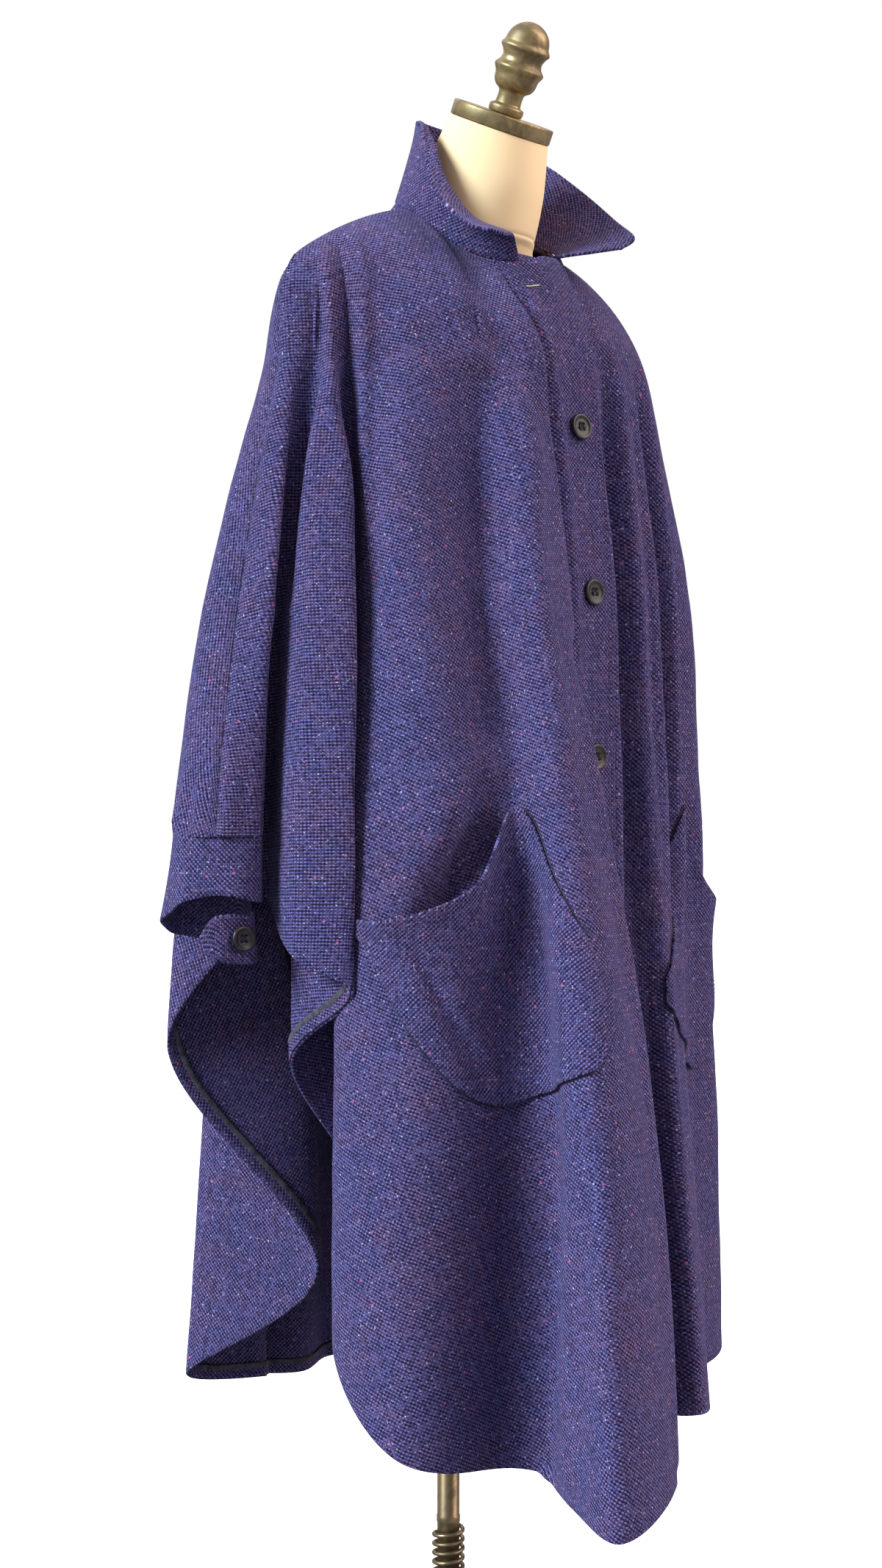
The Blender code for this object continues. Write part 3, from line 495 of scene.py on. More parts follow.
def hornMaterial(patina):
    # dark horn: brown streaks under a worn polish
    material, s, shader = newMaterial("darkButton", (0.03, 0.026, 0.03))
    marks = s.group(patina, {"Place": s.node("TexCoord", {})["Object"], "Cloud scale": 120.0,
                             "Chip share": -0.5})
    s.set(shader, {"Base Color": s.mix(marks["Tarnish"], horn["dark"], horn["streak"]),
                   "Roughness": s.blend(marks["Scratches"], horn["polished"], horn["worn"]),
                   "Normal": s.bump(0.15, 0.08 * mm, marks["Scratches"]),
                   "Specular IOR Level": horn["specular"]})
    return material


print("materials")
weave, patina = plainWeaveGroup(), patinaGroup()
looks = {"wool": woolMaterial(weave, knotsGroup()), "linen": linenMaterial(weave),
         "darkButton": hornMaterial(patina)}
looks.update({name: threadMaterial(name, *values) for name, values in threadLooks.items()})
looks.update({name: metalMaterial(name, patina, *values) for name, values in metals.items()})


body = {
    "wall": 2.6 * mm,          # cloth thickness
    "seamGap": 0.35 * mm,      # between panels that are sewn together
    "columnStep": 7 * mm,
    "shoulderRows": 24,
    "hangingRows": 104,
    "underlap": 11 * mm,       # the left front under the right one at the neck
    "underlapEnd": 0.62, "underlapFade": 0.28,
    "fallRead": 0.02,          # the height over which a fold line's fall is read
    "edgeRound": 0.9 * mm,
}
hangLevels = np.array([1.28, 1.08, 0.87, 0.60, 0.30])
neck = {"halfWidth": 0.078, "halfDepth": 0.080, "centreY": -0.0385, "frontZ": 1.400, "backZ": 1.472,
        "droop": 18.5 * mm, "droopEnd": math.radians(96), "sideTurn": math.radians(108)}
shoulder = {"tip": np.array([0.205, 0.003, 1.386]), "arch": 9 * mm, "archPower": 0.7, "end": 1.7}
# degrees below level at which the cloth leaves the top seams, and how strongly it follows them
slope = {"frontNeck": 72, "backNeck": 52, "shoulder": 22, "outer": 19, "tip": 120, "pull": 1.3}

# name: place along the top seams, then across and ahead (mm) at each hang level, then the foot's height
rightFront = [
    ("bandEdge", -0.36, (-27, -27, -27, -27, -27), (162, 182, 185, 193, 222), 312),
    ("bandSeam", 0.36, (37, 34, 34, 34, 32), (154, 179, 186, 202, 230), 310),
    ("foldFlank", 0.50, (55, 55, 60, 62, 84), (157, 191, 238, 290, 337), 299),
    ("foldCrest", 0.68, (84, 90, 116, 156, 190), (151, 189, 250, 312, 358), 279),
    ("frontValley", 0.86, (117, 136, 147, 139, 142), (136, 169, 209, 228, 226), 298),
    ("sideLobe", 1.12, (152, 178, 212, 233, 246), (106, 127, 147, 157, 166), 320),
    ("sideRoll", 1.45, (176, 199, 232, 241, 243), (71, 85, 85, 83, 85), 396),
    ("hiddenTurn", 1.60, (185, 199, 178, 172, 172), (55, 64, 52, 48, 46), 522),
    ("cascadeTurn", 1.70, (193, 209, 236, 240, 240), (46, 50, 31, 28, 28), 650),
    ("cascadeRoll", 1.79, (199, 221, 243, 246, 246), (39, 85, 107, 108, 108), 718),
    ("cascadeFront", 1.86, (208, 249, 272, 276, 276), (30, 60, 66, 66, 66), 748),
    ("underarmTurn", 1.89, (210, 240, 246, 246, 246), (26, 14, 5, 4, 4), 796),
    ("underarmFront", 1.91, (213, 244, 253, 253, 253), (22, 9, -4, -5, -5), 812),
    ("sleeveInside", 1.935, (217, 251, 262, 263, 263), (17, 13, 6, 6, 6), 854),
    ("sleeveFront", 1.96, (221, 266, 286, 288, 288), (10, 30, 32, 32, 32), 854),
    ("overarmRight", 2.02, (226, 275, 319, 319, 319), (-6, -2, 14, 14, 14), 854),
]
rightBack = [
    ("sleeveOutside", 1.96, (221, 282, 326, 329, 329), (-30, -33, -29, -29, -29), 854),
    ("sleeveBack", 1.91, (203, 257, 290, 294, 294), (-52, -60, -58, -58, -58), 854),
    ("insideBack", 1.89, (197, 247, 262, 264, 264), (-58, -56, -41, -43, -43), 854),
    ("underarmBack", 1.87, (193, 241, 251, 252, 252), (-61, -50, -30, -30, -30), 792),
    ("backTurn", 1.85, (188, 235, 243, 243, 243), (-65, -53, -38, -38, -38), 768),
    ("backEdgeFold", 1.80, (177, 222, 253, 270, 270), (-74, -88, -101, -108, -108), 655),
    ("backInnerTurn", 1.68, (164, 198, 186, 132, 126), (-84, -90, -76, -58, -56), 432),
    ("backCorner", 1.50, (143, 158, 154, 146, 151), (-98, -146, -180, -193, -215), 312),
    ("backFlute", 1.22, (108, 108, 98, 84, 74), (-112, -156, -184, -190, -184), 302),
    ("backCrest", 0.80, (66, 62, 56, 52, 44), (-121, -165, -194, -214, -226), 292),
    ("centreBack", 0.0, (0, 0, 0, 0, 0), (-121, -154, -174, -190, -204), 290),
]
leftFront = [
    ("buttonEdge", -0.22, (-20, -20, -20, -20, -20), (149, 171, 174, 182, 210), 314),
    ("leftCentre", 0.34, (34, 32, 34, 30, 26), (148, 170, 175, 189, 217), 312),
    ("nearCrest", 0.60, (74, 92, 112, 106, 82), (152, 168, 176, 208, 252), 312),
    ("leftValley", 0.86, (122, 148, 160, 162, 160), (141, 155, 158, 166, 176), 318),
    ("leftLobe", 1.12, (168, 199, 210, 228, 260), (120, 144, 151, 156, 142), 330),
    ("leftRoll", 1.45, (186, 206, 226, 238, 262), (78, 89, 92, 90, 84), 404),
    ("leftHidden", 1.60, (190, 200, 180, 174, 176), (56, 62, 50, 46, 44), 530),
    ("leftTurn", 1.70, (196, 210, 236, 242, 242), (46, 48, 31, 28, 28), 660),
    ("leftCascade", 1.79, (202, 226, 248, 252, 252), (37, 76, 99, 101, 101), 722),
    ("leftCascadeFront", 1.86, (209, 250, 272, 276, 276), (29, 57, 63, 63, 63), 752),
    ("leftUnderarmTurn", 1.89, (211, 240, 246, 246, 246), (25, 13, 5, 4, 4), 796),
    ("leftUnderarm", 1.91, (214, 244, 253, 253, 253), (21, 8, -4, -5, -5), 812),
    ("leftSleeveInside", 1.935, (217, 251, 262, 263, 263), (16, 12, 6, 6, 6), 854),
    ("leftSleeveFront", 1.96, (221, 266, 286, 288, 288), (10, 29, 31, 31, 31), 854),
    ("overarmLeft", 2.02, (226, 275, 318, 318, 318), (-6, -3, 12, 12, 12), 854),
]
leftBack = [
    ("leftSleeveOutside", 1.96, (221, 282, 326, 329, 329), (-30, -33, -30, -30, -30), 854),
    ("leftSleeveBack", 1.91, (203, 257, 290, 294, 294), (-52, -59, -58, -58, -58), 854),
    ("leftInsideBack", 1.89, (197, 247, 262, 264, 264), (-58, -56, -41, -43, -43), 854),
    ("leftUnderarmBack", 1.87, (193, 241, 251, 252, 252), (-61, -50, -30, -30, -30), 792),
    ("leftBackTurn", 1.85, (188, 235, 243, 243, 243), (-65, -53, -38, -38, -38), 768),
    ("leftEdgeFold", 1.80, (177, 222, 254, 260, 260), (-74, -87, -99, -103, -103), 662),
    ("leftInnerTurn", 1.68, (164, 198, 186, 138, 132), (-84, -90, -76, -58, -56), 440),
    ("leftCorner", 1.50, (143, 160, 160, 158, 162), (-98, -144, -174, -188, -202), 314),
    ("leftFlute", 1.18, (106, 104, 98, 90, 84), (-113, -154, -178, -182, -176), 304),
    ("leftCrest", 0.74, (62, 60, 56, 54, 50), (-121, -163, -190, -208, -218), 294),
]


# the coat's body is one surface of fold lines, cut into four panels

def neckSeam(turn, side):
    # turn is 0 at the front centre and pi at the back; the seam droops on the wearer's right
    middle, half = (neck["frontZ"] + neck["backZ"]) / 2, (neck["backZ"] - neck["frontZ"]) / 2
    z = middle - half * math.cos(turn)
    if side < 0 and 0 < turn < neck["droopEnd"]:
        z -= neck["droop"] * math.sin(math.pi * turn / neck["droopEnd"])
    return np.array([side * neck["halfWidth"] * math.sin(turn),
                     neck["centreY"] - neck["halfDepth"] * math.cos(turn), z])


def topSeam(seam, side, front):
    # a point of the neck and shoulder seams, and the slope at which the cloth leaves it
    gap = (-0.5 if front else 0.5) * body["seamGap"]
    if side > 0 and front:
        gap += body["underlap"] * min(1, max(0, (body["underlapEnd"] - seam) / body["underlapFade"]))
    sideTurn = neck["sideTurn"]
    if seam <= 1:
        turn = sideTurn * seam if front else math.pi - (math.pi - sideTurn) * seam
        drop = slope["frontNeck" if front else "backNeck"] * (1 - abs(seam)) + slope["shoulder"] * abs(seam)
        return neckSeam(turn, side) + np.array([0, gap, 0]), math.radians(drop)
    start = neckSeam(sideTurn, side)
    tip = shoulder["tip"] * np.array([side, 1, 1])
    arch = shoulder["arch"] * math.sin(math.pi * min(1, seam - 1)) ** shoulder["archPower"]
    point = start + (tip - start) * (seam - 1) + np.array([0, gap, arch])
    if seam < shoulder["end"]:
        along = (seam - 1) / (shoulder["end"] - 1)
        return point, math.radians(slope["shoulder"] + (slope["outer"] - slope["shoulder"]) * along)
    return point, math.radians(slope["outer"] + slope["tip"] * (seam - shoulder["end"]))


def hangingPoint(line, side, z):
    table = np.array([line[2], [-a for a in line[3]]], float).T * mm
    x, y = curveAt(table, -hangLevels, -z)
    return np.array([side * x, y, z])


def foldLine(line, side, front):
    # one fold line from its seam down to its foot
    start, drop = topSeam(line[1], side, front)
    end = hangingPoint(line, side, hangLevels[0])
    below = hangingPoint(line, side, hangLevels[0] - body["fallRead"])
    level = end[:2] - start[:2]
    away = np.array([*(unit(level) * math.cos(drop)), -math.sin(drop)])
    chord = np.linalg.norm(end - start)
    fall = unit(below - end)
    points = [hermite(start, end, away * chord * slope["pull"], fall * chord, row / body["shoulderRows"])
              for row in range(body["shoulderRows"])]
    depth = line[4] * mm - hangLevels[0]
    for row in range(body["hangingRows"] + 1):
        points.append(hangingPoint(line, side, hangLevels[0] + depth * row / body["hangingRows"]))
    return np.array(points)


def seatOnSeam(column, rows, spot):
    # moves a column's top on to the seam, and the cloth just below it in proportion
    first, second = rows[math.floor(spot)], rows[math.ceil(spot)]
    seam = first[0][1] * (1 - spot % 1) + second[0][1] * (spot % 1)
    top, _ = topSeam(seam, second[1], first[2] and second[2])
    shift = top - column[0]
    for row in range(body["shoulderRows"]):
        column[row] += shift * (1 - row / body["shoulderRows"]) ** 2


def bodyCloth():
    rows = [(row, -1, True) for row in rightFront] + [(row, -1, False) for row in rightBack]
    rows += [(row, 1, False) for row in reversed(leftBack)] + [(row, 1, True) for row in reversed(leftFront)]
    cloth, places = fillAcross([foldLine(*row) for row in rows], body["columnStep"])
    for strip, spot in zip(cloth, places):
        seatOnSeam(strip, rows, spot)
    return cloth, np.array(places), {row[0][0]: k for k, row in enumerate(rows)}


nearSeam = 1 * mm      # how close to the shoulder seam a top edge counts as on it


def squareShoulders(cloth, facing):
    # turns the top edges so that front and back meet face to face along the shoulder seams
    for side in (-1, 1):
        start = neckSeam(neck["sideTurn"], side)
        along = shoulder["tip"] * np.array([side, 1, 1]) - start
        square = unit(np.array([-along[1], along[0], 0]))
        for k in range(len(cloth)):
            top = cloth[k, 0] - start
            if top[0] * side > -nearSeam and abs(top @ square) < nearSeam:
                edge = facing[k, 0]
                facing[k, 0] = unit(edge - square * (edge @ square))


def spotHeight(cloth, spots, spot, height):
    # the grid place of a spot between fold lines at one height
    c = float(np.interp(spot, spots, np.arange(len(spots))))
    i = min(int(c), len(spots) - 2)
    z = cloth[i, :, 2] * (1 - c + i) + cloth[i + 1, :, 2] * (c - i)
    return c, float(np.interp(-height, -z, np.arange(len(z))))


creaseShape = {"marks": 26, "end": 0.02, "fade": 0.55, "ridge": 0.42, "ridgeAt": 1.75, "ridgeWidth": 0.85,
               "stillRows": 5}


def addCreases(cloth, facing, spots, number, table, ridge):
    # soft troughs, each with a ridge on either side
    moved = np.zeros(cloth.shape[:2])
    for start, startOff, startZ, end, endOff, endZ, depth, width, bow, skew in table:
        first, second = np.array([number[start] + startOff, startZ]), np.array([number[end] + endOff, endZ])
        marks = np.linspace(0, 1, creaseShape["marks"])
        places = []
        for k in marks:
            spot, height = first + (second - first) * k
            places.append(spotHeight(cloth, spots, spot + math.sin(math.pi * k) * bow, height))
        places = np.array(places)
        # the nearest point of the trough's line to each point of the cloth
        line = sample(cloth, places)
        step = np.diff(line, axis=0)
        gap = cloth[:, :, None] - line[:-1]
        share = np.clip(np.sum(gap * step, axis=3) / (np.sum(step * step, axis=1) + 1e-12), 0, 1)
        gap = np.linalg.norm(gap - share[..., None] * step, axis=3)
        nearest = gap.argmin(axis=2)[..., None]
        t = (nearest + np.take_along_axis(share, nearest, 2))[..., 0] / len(step)
        along = np.clip(t, creaseShape["end"], 1 - creaseShape["end"])
        strength = np.sin(math.pi * along) ** creaseShape["fade"]
        # wider on the side of the later fold lines where skew is over 1
        later = np.arange(len(cloth))[:, None] > np.interp(t, marks, places[:, 0])
        away = np.take_along_axis(gap, nearest, 2)[..., 0] / (width * mm) / np.where(later, skew, 1 / skew)
        side = np.exp(-((away - creaseShape["ridgeAt"]) / creaseShape["ridgeWidth"]) ** 2)
        moved += (-np.exp(-away ** 2) + ridge * side) * strength * depth * mm
    moved *= np.clip(np.arange(cloth.shape[1]) / creaseShape["stillRows"], 0, 1)[None] ** 2
    cloth += facing * moved[:, :, None]


lumps = {"broad": 1.6, "broadScale": 9, "fine": 0.45, "fineScale": 26, "stillRows": 9}     # depths in mm
gathers = {"spacing": 21 * mm, "depth": 3.4 * mm, "reach": 0.035, "from": 0.86, "edge": 0.8535,
           "edgeFade": 0.012, "atEdge": 0.15, "ends": 4 * mm, "endFade": 0.3, "shift": 1.7, "shiftRate": 41}


def addUnevenness(cloth, facing, spots, number):
    # slight lumps all over, and short gathers where the sleeves meet their cuffs
    moved = np.zeros(cloth.shape[:2])
    for at in np.ndindex(*cloth.shape[:2]):
        point = Vector(cloth[at])
        moved[at] = (noise.noise(point * lumps["broadScale"]) * lumps["broad"]
                     + noise.noise(point * lumps["fineScale"]) * lumps["fine"]) * mm
    moved *= np.clip(np.arange(cloth.shape[1]) / lumps["stillRows"], 0, 1)[None] ** 2
    for first, last in (("sleeveInside", "insideBack"), ("leftInsideBack", "leftSleeveInside")):
        a, b = (int(np.argmin(abs(spots - number[n]))) for n in (first, last))
        run = runLengths(cloth[a:b + 1, -1:], 0)[:, 0]
        for k, far in zip(range(a, b + 1), run):
            z = cloth[k, :, 2]
            along = min(1, (far + gathers["ends"]) / (run[-1] + 2 * gathers["ends"]))
            share = math.sin(math.pi * along) ** gathers["endFade"]
            shift = gathers["shift"] * math.sin(far * gathers["shiftRate"])
            wave = math.sin(far / gathers["spacing"] * 2 * math.pi + shift)
            reach = np.exp(-np.clip(z - gathers["from"], 0, 1) / gathers["reach"])
            reach = reach * np.clip((z - gathers["edge"]) / gathers["edgeFade"], gathers["atEdge"], 1)
            moved[k] += wave * gathers["depth"] * share * reach
    cloth += facing * moved[:, :, None]


rimTurns = (45, 90, 135)     # degrees round the rounded rim of a cloth wall


def clothShell(name, middle, normals, cut, look="wool", wall=body["wall"], rounding=body["edgeRound"]):
    # a thin closed cloth wall with rounded edges, the flat cut's coordinates kept on every point
    columns, rows = middle.shape[:2]
    total = columns * rows
    verts = [(middle + normals * wall / 2).reshape(-1, 3), (middle - normals * wall / 2).reshape(-1, 3)]
    index = np.arange(total).reshape(columns, rows)
    a, b, c, d = index[:-1, :-1], index[:-1, 1:], index[1:, 1:], index[1:, :-1]
    outer = np.stack([a, b, c, d], -1).reshape(-1, 4)
    inner = np.stack([a, d, c, b], -1).reshape(-1, 4) + total
    rim = [(k, 0) for k in range(columns)] + [(columns - 1, k) for k in range(1, rows)]
    rim += [(k, rows - 1) for k in range(columns - 2, -1, -1)] + [(0, k) for k in range(rows - 2, 0, -1)]
    rim = np.array(rim)
    edge = tuple(rim.T)
    out = np.zeros((len(rim), 3))
    for axis, last in ((0, columns - 1), (1, rows - 1)):
        for end, step in ((0, 1), (last, -1)):
            here = rim[:, axis] == end
            near = rim[here]
            near[:, axis] += step
            out[here] += unit(middle[tuple(rim[here].T)] - middle[tuple(near.T)])
    out = unit(out)
    at, face = middle[edge], normals[edge]
    out = unit(out - face * np.sum(out * face, axis=1, keepdims=True))
    loops = [index[edge]]
    for k, turn in enumerate(rimTurns):
        angle = math.radians(turn)
        verts.append(at + face * wall / 2 * math.cos(angle) + out * rounding * math.sin(angle))
        loops.append(2 * total + k * len(rim) + np.arange(len(rim)))
    loops.append(index[edge] + total)
    faces = [outer, inner]
    for first, second in zip(loops, loops[1:]):
        faces.append(np.stack([first, np.roll(first, -1), np.roll(second, -1), second], -1))
    made = newObject(name, np.concatenate(verts), np.concatenate(faces).tolist(), look, smoothAngle=None)
    flat = np.concatenate([cut.reshape(-1, 2)] * 2 + [cut[edge]] * len(rimTurns))
    keepCut(made, np.column_stack([flat, np.zeros(len(flat))]))
    return made


def flatCut(middle, grainColumn, coarse=3):
    # lays a piece out flat as it was cut, in metres, its grain running down one column
    columns, rows = middle.shape[:2]
    keepC, keepR = (sorted({*range(0, count, coarse), count - 1}) for count in (columns, rows))
    sparse = middle[np.ix_(keepC, keepR)]
    cs, rs = len(keepC), len(keepR)
    index = np.arange(cs * rs).reshape(cs, rs)
    quads = np.stack([index[:-1, :-1], index[:-1, 1:], index[1:, 1:], index[1:, :-1]], -1).reshape(-1, 4)
    mesh = bpy.data.meshes.new("flatCut")
    mesh.from_pydata(sparse.reshape(-1, 3).tolist(), [], quads.tolist())
    mesh.uv_layers.new(name="flat")
    item = linked("flatCut", mesh)
    bpy.context.view_layer.objects.active = item
    item.select_set(True)
    bpy.ops.object.mode_set(mode="EDIT")
    bpy.ops.mesh.select_all(action="SELECT")
    bpy.ops.uv.unwrap(method="MINIMUM_STRETCH", fill_holes=False, margin=0.0, iterations=12)
    bpy.ops.object.mode_set(mode="OBJECT")
    loops = np.empty(len(mesh.loops), int)
    mesh.loops.foreach_get("vertex_index", loops)
    raw = np.empty(len(mesh.loops) * 2)
    mesh.uv_layers["flat"].data.foreach_get("uv", raw)
    flat = np.zeros((cs * rs, 2))
    flat[loops] = raw.reshape(-1, 2)
    flat = flat.reshape(cs, rs, 2)
    bpy.data.objects.remove(item, do_unlink=True)
    bpy.data.meshes.remove(mesh)
    real = sum(np.linalg.norm(np.diff(sparse, axis=k), axis=2).sum() for k in (0, 1))
    laid = sum(np.linalg.norm(np.diff(flat, axis=k), axis=2).sum() for k in (0, 1))
    flat *= real / laid
    across, down = np.gradient(flat, axis=0), np.gradient(flat, axis=1)
    if (across[..., 0] * down[..., 1] - across[..., 1] * down[..., 0]).sum() < 0:
        flat[..., 0] *= -1
    grain = int(np.argmin(abs(np.array(keepC) - grainColumn)))
    lean = flat[grain, -1] - flat[grain, rs // 5]      # the grain, read below the shoulder
    turn = math.atan2(lean[0], lean[1])
    c, n = math.cos(turn), math.sin(turn)
    flat = flat @ np.array([[c, n], [-n, c]])
    flat -= flat[grain, 0]
    full = np.empty((columns, rows, 2))
    part = np.empty((cs, rows, 2))
    for k in range(2):
        for col in range(cs):
            part[col, :, k] = np.interp(np.arange(rows), keepR, flat[col, :, k])
        for row in range(rows):
            full[:, row, k] = np.interp(np.arange(columns), keepC, part[:, row, k])
    return full


def runningCut(middle):
    # a small piece's flat coordinates, from its run lengths
    across = runLengths(middle, 0)
    down = runLengths(middle, 1)
    return np.stack([across.mean(axis=1, keepdims=True) + 0 * down, down], -1)


# the cloth pieces and what is sewn to them: stitching, turned hems and serged edges

panels, trims, pieces = {}, {}, {}


def addPanel(name, node, middle, facing, cut, *wall):
    # a piece of cloth that stands for one node, kept with its flat cut for its sewing
    panels[name] = (middle, facing, cut)
    trims[name] = []
    made = clothShell("collarLeaf" if name == "collar" else name, middle, facing, cut, "wool", *wall)
    pieces[name] = place(made, "wool", node)


def edgePath(cut, edge, first=0, last=None):
    # grid places along one edge of a piece, and the way inwards
    axis = 0 if edge in ("hem", "top") else 1
    far = edge in ("hem", "end")
    along = np.arange(first, cut.shape[axis] if last is None else last + 1, dtype=float)
    across = np.full(len(along), cut.shape[1 - axis] - 1.0 if far else 0.0)
    inside = [0, 0]
    inside[1 - axis] = -1 if far else 1
    return np.column_stack([across, along] if axis else [along, across]), inside


def slopesAt(grid, at, axis):
    high, low = at.copy(), at.copy()
    high[:, axis] = np.minimum(high[:, axis] + 0.5, grid.shape[axis] - slopeEnd)
    low[:, axis] = np.maximum(low[:, axis] - 0.5, 0)
    return (sample(grid, high) - sample(grid, low)) / (high - low)[:, [axis]].clip(1e-3)


insetRounds, insetStep = 14, 2.5     # rounds of closing in, and the most grid places moved in each


def inset(cut, path, inside, distance):
    # the grid places that lie a distance inside an edge of the flat cut
    flat = sample(cut, path)
    along = unit(np.gradient(flat, axis=0))
    inward = np.column_stack([-along[:, 1], along[:, 0]])
    ahead = sample(cut, path + np.array(inside)) - flat
    inward *= np.sign(np.sum(inward * ahead, axis=1, keepdims=True))
    target = flat + inward * distance
    at = path
    for _ in range(insetRounds):
        gap = target - sample(cut, at)
        a, b = slopesAt(cut, at, 0), slopesAt(cut, at, 1)
        det = a[:, 0] * b[:, 1] - a[:, 1] * b[:, 0]
        det = np.where(abs(det) < 1e-9, 1e-9, det)
        step = np.column_stack([gap[:, 0] * b[:, 1] - gap[:, 1] * b[:, 0],
                                a[:, 0] * gap[:, 1] - a[:, 1] * gap[:, 0]]) / det[:, None]
        at = at + np.clip(step, -insetStep, insetStep)
        at = at.clip(0, np.array(cut.shape[:2]) - slopeEnd)
    return at


def edgeLine(name, edge, distance, first=0, last=None, side=1):
    # a line a distance inside one edge of a piece, on its outer or inner face
    middle, normals, cut = panels[name]
    at = inset(cut, *edgePath(cut, edge, first, last), distance)
    face = unit(sample(normals, at)) * side
    return sample(middle, at) + face * body["wall"] / 2, face


def edgeStrip(name, piece, path, start, end, lift, thick, look, ripple):
    # a narrow strip laid along an edge on the inner face of a piece
    middle, normals, cut = piece
    rows = []
    for t in np.linspace(0, 1, hem["rows"]):
        at = inset(cut, *path, start + (end - start) * t)
        face = -unit(sample(normals, at))
        puff = lift + hem["puff"] * thick * math.sin(math.pi * t)
        rows.append((sample(middle, at) + face * (body["wall"] / 2 + puff), face))
    grid, facing = (np.stack(part, 1) for part in zip(*rows))
    if ripple:
        run = runLengths(grid, 0)[:, :1, None]
        grid = grid + facing * ripple * np.sin(run / hem["rippleStep"] * 2 * math.pi)
    if np.sum(gridNormals(grid) * facing) < 0:
        grid, facing = grid[::-1], facing[::-1]
    return clothShell(name, grid, facing, runningCut(grid), look, thick, thick * hem["round"])


def resample(points, others, step):
    # points about one step apart along a line, with what goes with each
    run = np.concatenate([[0], np.cumsum(np.linalg.norm(np.diff(points, axis=0), axis=1))])
    wanted = np.arange(step / 2, run[-1], step)
    read = [np.column_stack([np.interp(wanted, run, column) for column in values.T])
            for values in (points, others)]
    return read[0], unit(read[1])


stitching = {"length": 3.0 * mm, "gap": 1.3 * mm, "radius": 0.42 * mm, "fromSeam": 7.5 * mm,
             "fromEdge": 7 * mm, "fromBand": 2 * mm, "cuffHem": 4.5 * mm, "cuffTop": 2.5 * mm,
             "pocketEdge": 2.0 * mm, "pocketMouth": 6.0 * mm, "steps": 8, "sides": 5}
# along a stitch in eighths of its length and gap, its share of the full radius, its rise in radii
stitchRings = [(0, 0.35, -0.75), (2, 0.95, 0.25), (4, 0.95, 0.25), (6, 0.35, -0.75)]


def stitchRow(points, facing):
    # a row of sewn stitches as short rounded bars that dip into the cloth at both ends
    radius = stitching["radius"]
    steps = stitching["steps"]
    fine, out = resample(points, facing, (stitching["length"] + stitching["gap"]) / steps)
    shape = ringFaces(stitching["sides"], len(stitchRings))
    verts, faces = [], []
    for first in range(0, len(fine) - steps, steps):
        at, face = fine[first:first + steps - 1], out[first:first + steps - 1]
        ahead = unit(at[-1] - at[0])
        faces += [tuple(i + len(verts) for i in ring) for ring in shape]
        for t, fat, rise in stitchRings:
            side = unit(np.cross(ahead, face[t]))
            for x, y in circle(stitching["sides"]):
                verts.append(at[t] + face[t] * (rise * radius + radius * fat * x) + side * radius * fat * y)
    return verts, faces


def sewOn(owner, name, parts, look, smoothAngle=60):
    # sewing that belongs to a piece of cloth
    trims[owner].append(place(joined(name, parts, look, smoothAngle), "wool"))


def sewRows(name, owner, rows):
    # several rows of stitches as one piece
    sewOn(owner, name, [stitchRow(*row) for row in rows], "woolThread", None)


hem = {"turn": 12 * mm, "from": 1.5 * mm, "thick": 1.5 * mm, "sergeWidth": 4.6 * mm, "sergeThick": 0.9 * mm,
       "ripple": 0.3 * mm, "rippleStep": 3.1 * mm, "rows": 5, "puff": 0.35, "round": 0.45, "lift": 0.1 * mm}

